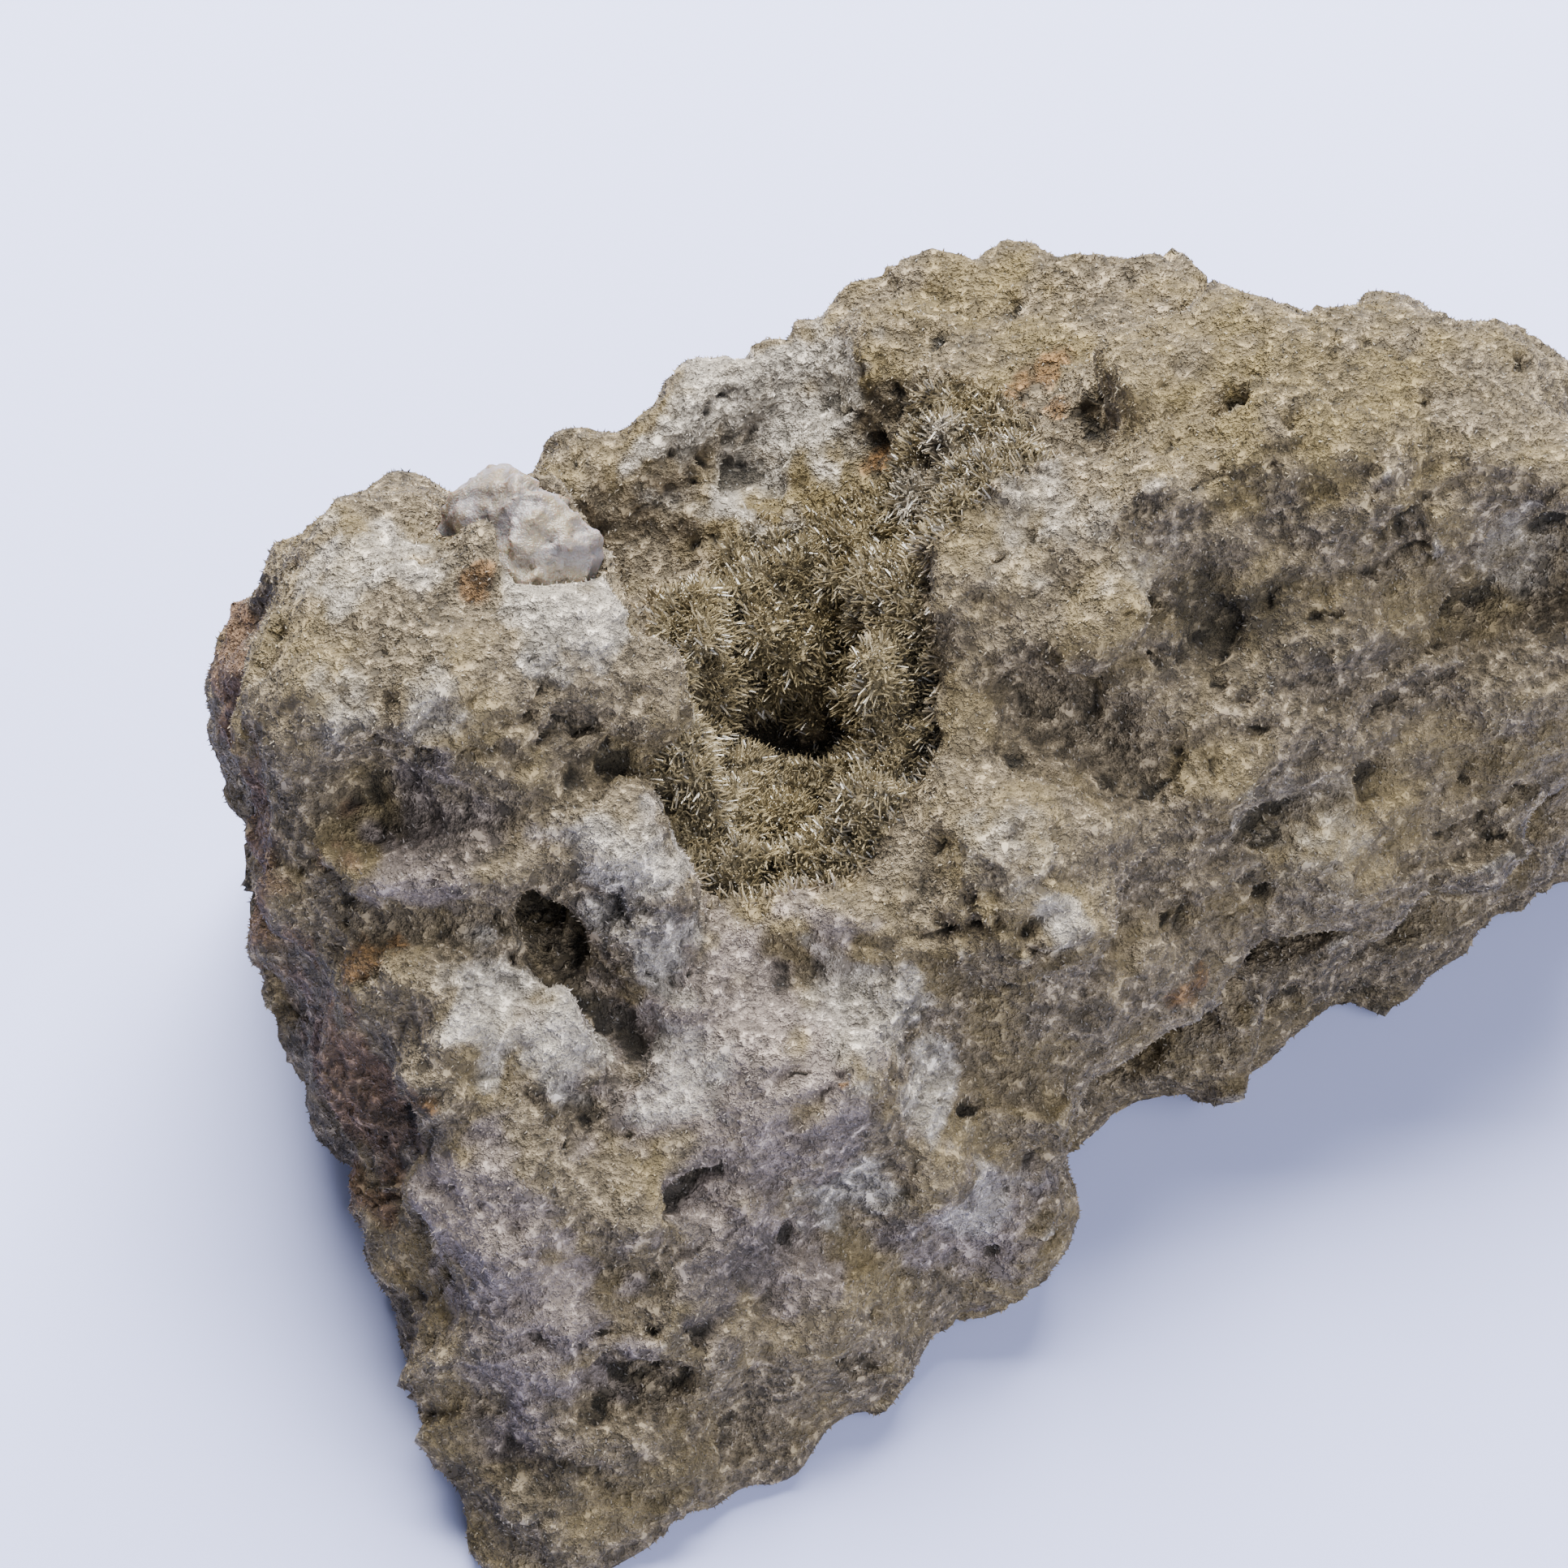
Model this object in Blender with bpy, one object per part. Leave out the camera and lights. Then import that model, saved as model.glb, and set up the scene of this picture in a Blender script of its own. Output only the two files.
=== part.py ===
"""A hand specimen of johannsenite, as a Blender model in metres, +Z up.

Three pieces lie in one frame:
  johannsenite_rock  the broken lump of felted fibres, with ledges, clefts, an overhang and a flat foot
  needle_crust       the lining of needle crystals in the hollow between the two high blocks
  quartz_lump        the white glassy grain grown into the crest of the left block

The lump is built from broken blocks. Each block is the convex body of a few corners, given in
millimetres. The blocks are fused, the clefts are cut out, dents are pressed in, the broken surface is
roughened by a fixed noise, and the foot is cut flat. The hollow and the grain's socket are cut last.
The origin is then moved under the middle of the box, on the foot.
"""

import math

import bmesh
import bpy
import numpy as np
from mathutils import Euler, Vector, noise

MM = 0.001

# Driving dimensions, in millimetres
FUSE_VOXEL = 0.75       # grid that fuses the blocks
CLEFT_VOXEL = 0.45      # grid that rounds the clefts' cutters
SKIN_VOXEL = 0.6        # grid that rebuilds the roughened skin as one sheet
HOLLOW_VOXEL = 0.9      # grid that fuses the lumps of the hollow
ROCK_TRIANGLES = 5900   # faces kept on the lump before the hollow is cut
HOLLOW_TRIANGLES = 500  # faces kept on each body of the hollow
MOUND_TRIANGLES = 360   # faces kept on the mounds in the hollow
SEAT_GAP = 0.3          # gap between the lump and what sits in it
CRUST_DEPTH = 2.3       # needle crust, from its root to the needles' tips
FOOT_HEIGHT = 0.0       # level of the flat foot in the blocks' own coordinates
CUT_TOLERANCE = 1e-4    # points this near the foot's level count as on it
ROCK_SMOOTHING = (0.5, 2)       # factor and rounds that round off the fused blocks
HOLLOW_SMOOTHING = (0.5, 3)     # factor and rounds that round off the hollow

# Relief of the broken surface: (wavelength, height) in millimetres
BROAD_RELIEF = (11.0, 1.5)
MIDDLE_RELIEF = (4.8, 1.5)
FINE_RELIEF = (2.1, 0.8)
BAND_RELIEF = (2.6, 0.9)        # grooves along the right face
RELIEF_OCTAVES = 2              # each relief has this many sizes of wave, each half the last
BAND_DIRECTION = (0.83, 0.55, 0.08)
BAND_STRETCH = 5.0              # how much longer than wide the grooves are
BAND_START = (10.0, 8.0)        # where along X the grooves begin, and over what length they deepen
BAND_FACING = 0.4               # faces that turn further to the back than this have no grooves
CHIP_MEAN = 0.55                # a chip's usual distance from its middle, in chip spacings
NOISE_SEED = 7                  # noise_vector draws its offsets from the clock unless a seed is set

# Small lumps have uneven sides: corners, unevenness and its frequency
LUMP_CORNERS = 26
LUMP_UNEVENNESS = (0.28, 1.7)

# Corners of the broken blocks, in millimetres
BLOCKS = {
    "front_slope": (
        (-11, -25, 0), (-9.5, -31, 0), (-7.5, -33.2, 0), (-4.8, -32.2, 0), (1.7, -28.8, 0), (7.4, -24.6, 0),
        (11.0, -20.0, 0), (12.2, -15.8, 0), (11.6, -10, 0), (-14, -12, 0),
        (-12.6, -31.0, 2.5), (-13.2, -27.0, 5.5), (-12.4, -23.9, 9.0), (-11.8, -19.5, 14),
        (-6.6, -17.6, 17), (3.1, -16.8, 16.0), (7.4, -14.8, 15.0), (12.6, -13.2, 13.4), (14.4, -15.6, 8),
        (12.6, -19.2, 3.5), (-7.5, -27.0, 9.5), (-2, -26.4, 9.5), (3.5, -23.8, 10),
        (8.6, -20.6, 9.8), (0, -8, 15), (-12, -10, 17),
    ),
    "front_toe": (
        (-12.6, -31.0, 2.5), (-10.8, -33.2, 0), (-8, -34.3, 0), (-4.6, -33.0, 0), (2, -29.4, 0.5),
        (-12.8, -27, 5.0), (-7, -29.5, 5.5), (-1, -28.6, 4.5), (-10, -24, 0), (0, -22, 0), (-10, -22, 8),
    ),
    "front_rib": (
        (8.8, -16.4, 14.2), (12.8, -13.4, 14.4), (14.6, -15.2, 10), (11.8, -16.4, 6.5), (8.8, -19.6, 6),
        (6.4, -22.6, 8.5), (4.0, -19.5, 12), (10, -12, 4),
    ),
    "left_block": (
        (-19.3, 1.7, 23.5), (-16.8, 2.4, 24), (-12.8, 3.0, 25), (-10.0, 2.0, 26.5), (-7.0, -0.2, 27),
        (-4.2, -4.4, 26.5), (-4.4, -9.4, 24.5), (-18.6, -8.8, 24.5), (-12, -11.2, 25), (-15.6, -14.6, 19),
        (-11.8, -18.8, 14.5), (-6.6, -16.6, 17), (-4.0, -13.2, 18.5), (-21.0, 2.6, 19), (-22.8, -1.4, 14.5),
        (-21.8, -3.6, 12), (-20.4, -6.0, 10), (-18.0, -9.6, 8), (-16.1, -13.9, 7), (-14.2, -18.4, 6),
        (-14.3, -21.2, 4), (-13.5, -23.5, 3), (-18, 4, 3), (-10, 7, 3), (-6, 0, 3), (-6, -18, 3),
    ),
    "left_foot": (
        (-18, 2, 0), (-16, -8, 0), (-12.5, -20, 0), (0, -20, 0), (2, 4, 0), (-10, 10, 0),
        (-20.4, 1, 6), (-18.5, -9, 6), (-14, -20, 4), (-12, 10, 6), (2, 2, 7),
    ),
    "left_tip": (
        (-7, -2.0, 26.5), (-3.7, -4.2, 27), (-2.3, -7.2, 26), (-2.6, -9.0, 24.6), (-6.5, -9.2, 24),
        (-8, -5, 25), (-3.4, -4.6, 21), (-2.9, -7.8, 21),
    ),
    "left_ledge": (
        (-18.4, -7.5, 25.6), (-17.6, -9.8, 25.2), (-12, -10.9, 26.1), (-8.2, -10.4, 25.6), (-8, -5, 26),
        (-17, -4, 25), (-16, -8, 22), (-9, -8, 22),
    ),
    "right_ridge": (
        (7.6, -0.6, 25), (9.5, 2.0, 26), (16.2, 0.7, 28), (22.9, 5.0, 28.5), (31.6, 6.0, 28),
        (34.4, 3.0, 26.5), (36.6, -0.4, 22.5), (37.8, -0.9, 17), (37.6, -1.6, 13.5), (35.6, -1.4, 11.6),
        (29.4, -5.8, 11.2), (23.6, -9.8, 10.6), (18.7, -13.0, 10.2), (15.0, -15.9, 9.8), (12.8, -12.8, 14.5),
        (9.5, -9.0, 20), (30, 14, 19), (20, 13, 21), (10, 8, 20), (15, -8, 7), (36, 6, 9), (30, 15, 3),
        (11, 12, 3), (39, 4, 14), (38.5, 3.6, 21),
    ),
    "top_block": (
        (20.6, 4.6, 28.4), (24.2, 7.6, 28.0), (27.0, 9.8, 28.8), (30.2, 9.8, 29.2), (32.4, 7.0, 28.2),
        (30.8, 2.6, 28.4), (24, 2.0, 28.0), (21, 8, 24), (31, 12, 24), (34.5, 8, 24), (22, 2, 24),
        (30, 0, 24), (28, 15, 21), (36, 8, 20),
    ),
    "pale_peak": (
        (6.8, -3.0, 24.4), (8.2, 0.6, 26.2), (11.5, 1.2, 27.6), (16.5, -1.4, 27.2), (16.8, -5.2, 24.6),
        (11.2, -5.6, 24.4), (8, -4.4, 22.4), (14, 2, 22), (15, -5, 21),
    ),
    "knob": (
        (5.2, -8.8, 19.0), (8.2, -7.6, 21.4), (13.2, -8.0, 22.2), (16.6, -9.8, 20.4), (16.0, -13.6, 17.0),
        (11.6, -15.0, 17.2), (6.6, -13.2, 17.2), (12, -8, 15), (8, -7, 15),
    ),
    "back_hump": (
        (3.4, 17.0, 18.8), (5.6, 19.0, 21.2), (9.1, 19.8, 22.2), (13.4, 20.2, 21.2), (17.9, 19.4, 21.8),
        (21.4, 21.6, 17.4), (26, 20.0, 16.2), (3.6, 12.6, 18.8), (9, 9.8, 22), (16, 8, 25), (22.6, 10, 23.6),
        (2, 20, 8), (7, 24.4, 2.5), (19, 26, 2.5), (30, 23, 3), (36, 13, 3), (8, 22, 0), (19, 23.4, 0),
        (28, 20.5, 0), (33, 12, 0), (5, 6, 0), (20, -2, 0), (32, 19, 9),
    ),
    "back_rim": (
        (-9.4, 8.4, 16.4), (-8.0, 11.8, 17.0), (-3.8, 14.2, 17.4), (-0.3, 15.6, 17.8), (2.4, 17.8, 19.0),
        (5, 18.6, 20.2), (-5.0, 8.6, 12.5), (3, 10, 16), (-15, 7.6, 5), (-11.5, 14.4, 3), (-3, 20, 3),
        (6, 22.5, 3), (-9, 12, 0), (-2, 17.5, 0), (6, 20, 0), (-10, 3, 0), (4, 0, 0), (-13, 6, 12),
    ),
    "hollow_bed": (
        (-4.5, -12.0, 16.2), (6.5, -12.0, 16.2), (8.4, -4.0, 20.0), (9.4, 1.6, 22.6), (-6.0, -4.0, 18.0),
        (-6.0, 4.0, 15.5), (-2.0, 8.6, 14.6), (5.0, 9.4, 18.2), (12.4, 8.0, 23.0), (-6, -12, 0), (10, -12, 0),
        (12, 8, 0), (-6, 8, 0),
    ),
    "needle_slope": (
        (-6.0, 7.0, 10), (-3.0, 4.0, 8), (2.0, 3.0, 8), (5.5, 2.0, 11), (3.0, 7.4, 14), (-4.4, 9.4, 12.6),
        (6.6, 8.0, 18), (10.6, 7.8, 21.6), (14.6, 7.0, 23.4), (11, 2, 19), (4, 13, 17.4), (-3, 13, 14),
        (12, 14, 21), (-6, 6, 0), (8, 0, 0), (14, 4, 0), (10, 16, 0), (-4, 14, 0),
    ),
    "lower_shelf": (
        (16.4, -9.4, 0), (21.4, -7.2, 0), (25.6, -4.8, 0), (30, -1.8, 0), (33.4, 0.6, 0), (35.6, 3.2, 0),
        (15.7, -11.4, 2.6), (21.1, -9.6, 2.4), (25.6, -6.8, 2.2), (30, -3.8, 2.0), (33.6, -1.4, 2.0),
        (37.0, 1.6, 2.2), (39.2, 4.4, 4), (16.4, -10.8, 5.6), (20.8, -8.8, 6.6), (24.8, -6.4, 7.0),
        (30.6, -3.0, 7.4), (36.4, 0.6, 7.8), (39.6, 3.8, 8.4), (37, 14, 3), (38, 12, 9), (34, 12, 0),
        (16, 8, 0), (16, 8, 8),
    ),
    "core": (
        (-15, -12, 0), (-7, -26, 0), (8, -20, 0), (30, 0, 0), (30, 14, 0), (8, 20, 0), (-12, 8, 0),
        (-12, -10, 9), (-4, -20, 9), (8, -14, 9), (26, 0, 9), (24, 12, 9), (8, 14, 9), (-8, 6, 9),
    ),
}

# Small lumps: centre, half sizes, turn in degrees, seed
LUMPS = {
    "pale_flake": ((-4.2, -12.8, 19.2), (2.3, 4.9, 2.1), (36, 16, 30), 3),
    "under_tip": ((-7.0, -9.8, 21.8), (4.2, 2.4, 2.2), (10, 0, 12), 5),
    "upper_terrace": ((-13.6, -12.4, 21.2), (4.2, 1.8, 1.3), (-8, 0, 8), 51),
    "lower_terrace": ((-11.2, -15.0, 18.4), (4.0, 1.8, 1.4), (-8, 0, 14), 53),
    "left_rim": ((-17.4, -6.0, 24.4), (1.8, 4.0, 1.7), (0, 0, 4), 55),
    "pale_crest": ((-14.6, -3.6, 25.2), (3.4, 2.6, 1.6), (0, 0, 30), 57),
    "vug_lip": ((3.6, -13.0, 16.4), (4.8, 2.0, 1.6), (20, 0, 10), 59),
    "pale_shoulder": ((-9.2, -18.4, 15.6), (4.4, 3.2, 2.4), (20, 0, 14), 7),
    "front_boss": ((-8.6, -22.4, 11.6), (4.6, 4.0, 3.0), (30, 0, 0), 11),
    "curved_ledge": ((-9.6, -27.2, 7.4), (3.8, 1.8, 1.8), (15, 0, 24), 13),
    "middle_boss": ((1.2, -18.8, 13.6), (5.2, 3.4, 2.6), (35, 0, -12), 17),
    "shelf_knuckle": ((19.6, -9.8, 4.4), (3.2, 2.6, 3.2), (0, 10, 30), 19),
    "hump_top": ((16.6, 17.2, 21.2), (3.6, 2.6, 1.6), (0, 0, 20), 23),
    "hump_left": ((8.6, 14.8, 21.0), (4.2, 3.2, 1.8), (0, 0, 0), 29),
    "plateau_lump": ((19.4, 8.4, 26.2), (4.0, 3.0, 2.4), (0, 0, 30), 31),
    "rim_lump": ((-2.8, 13.0, 17.4), (2.2, 1.8, 1.5), (0, 0, 0), 37),
    "rim_shoulder": ((-7.4, 9.6, 16.4), (2.4, 2.0, 1.8), (0, 0, 20), 61),
    "slope_lump": ((0.2, 10.8, 15.6), (2.6, 2.2, 1.6), (20, 0, 0), 63),
    "face_lump": ((21.0, -3.4, 19.0), (5.0, 2.4, 3.0), (0, 10, 33), 65),
    "low_band": ((20.6, -9.6, 12.2), (8.0, 1.8, 1.6), (0, -6, 35), 67),
    "corner_lump": ((32.6, 2.8, 26.4), (2.8, 2.2, 2.4), (0, 0, 0), 69),
    "block_back": ((-14.6, 3.0, 23.4), (3.0, 1.8, 1.8), (0, 0, 0), 41),
    "toe_lump": ((-8.4, -30.4, 3.6), (3.2, 2.4, 2.2), (30, 0, 20), 43),
}

# Clefts cut out of the fused blocks: centre, half sizes, turn in degrees, seed
CLEFTS = {
    "under_the_tip": ((-4.0, -10.2, 23.3), (4.2, 2.2, 1.1), (0, 0, 0), 8),
    "under_the_knob": ((11.2, -14.4, 15.0), (5.2, 3.0, 1.4), (-10, 4, -4), 12),
    "behind_the_flake": ((-7.8, -13.6, 18.6), (1.1, 2.8, 3.4), (30, -10, 20), 22),
    "below_the_flake": ((-4.8, -17.4, 16.8), (3.2, 1.0, 1.7), (-20, 0, -38), 24),
    "hump_pit": ((20.2, 5.4, 27.8), (0.9, 0.9, 2.6), (0, 0, 0), 14),
    "shelf_groove": ((25.4, -7.4, 8.5), (14.0, 3.2, 1.5), (0, -3, 35), 16),
    "shelf_crack": ((23.0, -8.6, 4.4), (0.7, 2.6, 5.0), (0, 18, 24), 18),
}

# Dents pressed into the surface: centre, half sizes, turn in degrees, depth
DENTS = {
    "under_the_ledge": ((-13.7, -11.8, 22.6), (6.2, 3.4, 2.3), (0, 0, 5), 2.8),
    "between_terraces": ((-12.2, -14.8, 19.6), (5.2, 2.8, 1.6), (0, 0, 10), 2.0),
    "flake_foot_pit": ((-4.0, -18.2, 16.2), (1.4, 1.4, 1.6), (0, 0, 0), 1.6),
    "slope_pits": ((2.3, -14.8, 16.6), (2.2, 1.2, 1.6), (0, 0, 0), 1.6),
    "front_pits": ((-1.4, -23.4, 12.0), (2.0, 1.4, 1.6), (0, 0, 0), 1.7),
    "face_hollow": ((0.4, -26.0, 10.0), (5.4, 3.4, 3.4), (40, 0, 12), 1.4),
    "toe_recess": ((-4.2, -28.8, 6.4), (3.8, 2.0, 1.6), (-20, 0, 20), 2.0),
    "toe_fold": ((-9.4, -30.6, 4.6), (3.6, 1.6, 1.5), (-30, 0, 24), 1.4),
    "under_the_peak": ((12.2, -7.0, 22.2), (5.4, 2.4, 1.6), (0, 0, 0), 2.4),
    "ridge_band": ((32.9, 0.0, 24.0), (5.0, 2.6, 3.0), (-20, -10, 20), 2.0),
    "long_groove": ((23.0, -6.6, 14.6), (11.0, 2.4, 1.5), (0, -6, 33), 1.4),
    "upper_groove": ((25.0, -2.4, 20.4), (10.0, 2.4, 1.4), (0, -8, 30), 1.3),
    "block_notch": ((-10.6, 3.0, 25.4), (1.6, 2.6, 2.2), (0, 0, -24), 1.8),
    "notch_behind_the_block": ((25.4, 14.0, 21.0), (3.2, 3.6, 3.4), (0, 0, 0), 2.2),
    "plateau_dip": ((15.0, 6.4, 25.0), (4.0, 2.6, 2.6), (0, 0, 30), 1.4),
    "hump_dip": ((12.6, 14.6, 22.0), (3.0, 3.0, 2.0), (0, 0, 0), 1.2),
    "flank_fold": ((-19.4, -7.0, 14.0), (1.6, 2.0, 8.0), (-30, -16, 0), 1.4),
    "flank_fold_low": ((-15.6, -15.6, 10.0), (1.6, 1.8, 6.0), (-34, -20, 0), 1.3),
    "back_gully": ((10.0, 25.0, 10.0), (3.0, 4.0, 9.0), (20, 0, 10), 2.2),
    "back_ledge": ((26.0, 22.0, 9.0), (9.0, 4.0, 1.6), (0, 0, -20), 2.0),
    "left_back_step": ((-14.0, 9.0, 9.0), (6.0, 3.0, 1.6), (0, 0, 30), 2.0),
    "right_end_step": ((39.0, 6.0, 13.0), (3.0, 6.0, 1.6), (0, 0, 10), 2.0),
}

# The hollow between the two high blocks: centre, half sizes, turn in degrees
HOLLOW = (
    ((2.2, -2.6, 18.0), (6.4, 9.6, 7.6), (0, 0, -6)),
    ((1.4, 3.0, 14.6), (5.0, 3.8, 7.2), (0, 0, 0)),
    ((5.4, 5.4, 22.4), (9.4, 5.6, 5.4), (0, -43, 6)),
)

# Mounds of the lining that stand in the hollow: centre, half sizes, turn in degrees, seed. The cave is
# the gap between them.
MOUNDS = {
    "over_the_cave": ((2.0, 3.8, 14.2), (3.2, 3.2, 2.7), (0, 0, 0), 71),
    "before_the_cave": ((0.6, -5.0, 12.2), (3.6, 3.2, 3.3), (0, 0, 0), 73),
}

# The glassy grain: its middle, its turn in degrees, and its broken corners before the turn
QUARTZ_MIDDLE = (-8.6, -0.6, 25.2)
QUARTZ_TURN = (0, 20, -42)
QUARTZ_CORNERS = (
    (-3.4, -0.7, 0.8), (-2.6, 1.5, 1.3), (-2.3, -1.8, -1.7), (-1.5, 0.3, 3.3), (0.5, -2.1, 2.5),
    (1.7, 1.4, 2.9), (3.1, -1.1, 1.6), (3.3, 1.2, -0.2), (2.5, -1.8, -1.7), (1.7, 1.9, -2.5),
    (-0.8, 2.2, -0.4), (-1.9, 0.8, -3.1), (0.9, -0.6, -3.4), (-0.9, -2.2, 0.7),
)
SOCKET_SCALE = 1.19     # leaves the seat gap round the grain's nearest faces

# The crust's own lumps: spacing and height, and a lump's usual distance from its middle, in spacings
CRUST_LUMPS = (1.9, 1.2)
CRUST_LUMP_MEAN = 0.5

# Coarse needles on the crust, in millimetres
NEEDLE_LENGTH = 1.5
NEEDLE_STRETCH = (1.0, 1.5)     # shortest and longest, in needle lengths
NEEDLE_ROOT = 0.4               # part of a needle's length that lies in the crust
NEEDLE_WIDTH = 0.5
NEEDLE_COUNT = 70
NEEDLE_SPREAD = 0.45            # how far needles lean out of square
NEEDLE_DEPTH = 0.8      # a coarse needle is rooted at least this deep below the lump's surface
NEEDLE_FACING = 0.3     # where the room faces up more than this there is a roof, which has no coarse needles
NEEDLE_SEED = 5


def new_object(name, bm):
    """Turn a bmesh in millimetres into an object in metres."""
    bmesh.ops.scale(bm, vec=(MM, MM, MM), verts=bm.verts)
    mesh = bpy.data.meshes.new(name)
    bm.to_mesh(mesh)
    bm.free()
    item = bpy.data.objects.new(name, mesh)
    bpy.context.scene.collection.objects.link(item)
    return item


def hull_of(bm, corners):
    """Add the convex body of the corners to the bmesh."""
    verts = [bm.verts.new(corner) for corner in corners]
    made = bmesh.ops.convex_hull(bm, input=verts, use_existing_faces=False)
    spare = {item for item in made["geom_interior"] + made["geom_unused"] if isinstance(item, bmesh.types.BMVert)}
    bmesh.ops.delete(bm, geom=list(spare), context="VERTS")


def chipped_lump(centre, half_sizes, turn, seed):
    """Corners of a rounded lump with broken, uneven sides."""
    rotation = Euler([math.radians(angle) for angle in turn]).to_matrix()
    golden = math.pi * (3 - math.sqrt(5))
    unevenness, frequency = LUMP_UNEVENNESS
    corners = []
    for i in range(LUMP_CORNERS):
        height = 1 - 2 * (i + 0.5) / LUMP_CORNERS
        ring = math.sqrt(1 - height * height)
        angle = golden * i + seed
        way = Vector((ring * math.cos(angle), ring * math.sin(angle), height))
        reach = 1.0 + unevenness * noise.noise(way * frequency + Vector((seed, 0, 0)))
        corners.append(rotation @ Vector(w * h * reach for w, h in zip(way, half_sizes)) + Vector(centre))
    return corners


def fused(name, corner_lists, voxel):
    """One closed body of several convex bodies, on a voxel grid."""
    bm = bmesh.new()
    for corners in corner_lists:
        hull_of(bm, corners)
    bmesh.ops.recalc_face_normals(bm, faces=bm.faces)
    item = new_object(name, bm)
    regrid(item, voxel)
    return item


def regrid(item, voxel):
    """Rebuild the body's skin on a voxel grid, as one closed sheet."""
    remesh = item.modifiers.new("Fuse", "REMESH")
    remesh.mode = "VOXEL"
    remesh.voxel_size = voxel * MM
    remesh.adaptivity = 0.0
    apply_modifiers(item)


def apply_modifiers(item):
    """Put the evaluated mesh in place of the object's own."""
    graph = bpy.context.evaluated_depsgraph_get()
    graph.update()
    mesh = bpy.data.meshes.new_from_object(item.evaluated_get(graph))
    old = item.data
    item.modifiers.clear()
    item.data = mesh
    mesh.name = item.name
    bpy.data.meshes.remove(old)


def boolean(item, tool, operation):
    """Cut with, or keep what lies in, another body."""
    cut = item.modifiers.new(operation.title(), "BOOLEAN")
    cut.operation = operation
    cut.solver = "EXACT"
    cut.use_self = operation == "UNION"
    cut.object = tool
    apply_modifiers(item)


def thinned(item, triangles):
    """Bring a dense mesh down to about this many triangles."""
    count = sum(len(polygon.vertices) - 2 for polygon in item.data.polygons)
    thin = item.modifiers.new("Thin", "DECIMATE")
    thin.ratio = min(1.0, triangles / count)
    apply_modifiers(item)


def vertices_of(item):
    """Vertex places and normals of a mesh, in millimetres."""
    count = len(item.data.vertices)
    places = np.empty(count * 3)
    normals = np.empty(count * 3)
    item.data.vertices.foreach_get("co", places)
    item.data.vertices.foreach_get("normal", normals)
    return places.reshape(-1, 3) / MM, normals.reshape(-1, 3)


def dent_depths(places):
    """How far each place is pressed in by the dents, in millimetres."""
    depths = np.zeros(len(places))
    for centre, half_sizes, turn, depth in DENTS.values():
        rotation = np.array(Euler([math.radians(angle) for angle in turn]).to_matrix())
        local = (places - np.array(centre)) @ rotation / np.array(half_sizes)
        depths += depth * np.clip(1 - (local ** 2).sum(axis=1), 0, 1)
    return depths


def place_vertices(item, places):
    item.data.vertices.foreach_set("co", (places * MM).ravel())
    item.data.update()


def smoothed(item, factor, times):
    """Round off the grid's steps."""
    smooth = item.modifiers.new("Smooth", "SMOOTH")
    smooth.factor = factor
    smooth.iterations = times
    apply_modifiers(item)


def waves(place, relief):
    """Height of a relief with this wavelength and height, at a place."""
    wavelength, height = relief
    return noise.fractal(place / wavelength, 1.0, 2.0, RELIEF_OCTAVES) * height


def broken_relief(place):
    """Height of the broken surface at a place, in millimetres: swells, rounded chips with creases
    between them, and a fine roughness."""
    spacing, height = MIDDLE_RELIEF
    warp = noise.noise_vector(place / BROAD_RELIEF[0]) * spacing / 2
    nearest = noise.voronoi((place + warp) / spacing)[0]
    chips = (CHIP_MEAN - nearest[0]) * 2 * height
    return waves(place, BROAD_RELIEF) + chips + waves(place, FINE_RELIEF)


def band_relief(place, normal):
    """Grooves that run along the steep right face, in millimetres."""
    along = Vector(BAND_DIRECTION).normalized()
    squeezed = place - along * place.dot(along) * (1 - 1 / BAND_STRETCH)
    start, length = BAND_START
    on_right = min(1.0, max(0.0, (place.x - start) / length)) * min(1.0, max(0.0, BAND_FACING - normal.y))
    return waves(squeezed, BAND_RELIEF) * on_right


def roughened(item):
    """Raise and sink the surface as a break through felted fibres leaves it."""
    places, normals = vertices_of(item)
    heights = -dent_depths(places)
    for i in range(len(places)):
        place = Vector(places[i])
        heights[i] += broken_relief(place) + band_relief(place, Vector(normals[i]))
    place_vertices(item, places + normals * heights[:, None])


def flat_foot(item, level):
    """Cut the body flat at a level and close the cut."""
    bm = bmesh.new()
    bm.from_mesh(item.data)
    parts = list(bm.verts) + list(bm.edges) + list(bm.faces)
    cut = bmesh.ops.bisect_plane(
        bm, geom=parts, plane_co=(0, 0, level * MM), plane_no=(0, 0, 1), clear_inner=True,
        dist=CUT_TOLERANCE * MM
    )
    rim = [edge for edge in cut["geom_cut"] if isinstance(edge, bmesh.types.BMEdge)]
    bmesh.ops.contextual_create(bm, geom=rim)
    bmesh.ops.triangulate(bm, faces=[face for face in bm.faces if len(face.verts) > 3])
    bm.to_mesh(item.data)
    bm.free()


def keep_largest(item):
    """Drop the crumbs that a cut leaves beside the main body."""
    bm = bmesh.new()
    bm.from_mesh(item.data)
    left = set(bm.verts)
    groups = []
    while left:
        group = set()
        edge_of_group = [left.pop()]
        while edge_of_group:
            vert = edge_of_group.pop()
            group.add(vert)
            for edge in vert.link_edges:
                other = edge.other_vert(vert)
                if other in left:
                    left.discard(other)
                    edge_of_group.append(other)
        groups.append(group)
    groups.sort(key=len)
    crumbs = [vert for group in groups[:-1] for vert in group]
    bmesh.ops.delete(bm, geom=crumbs, context="VERTS")
    bm.to_mesh(item.data)
    bm.free()


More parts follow.
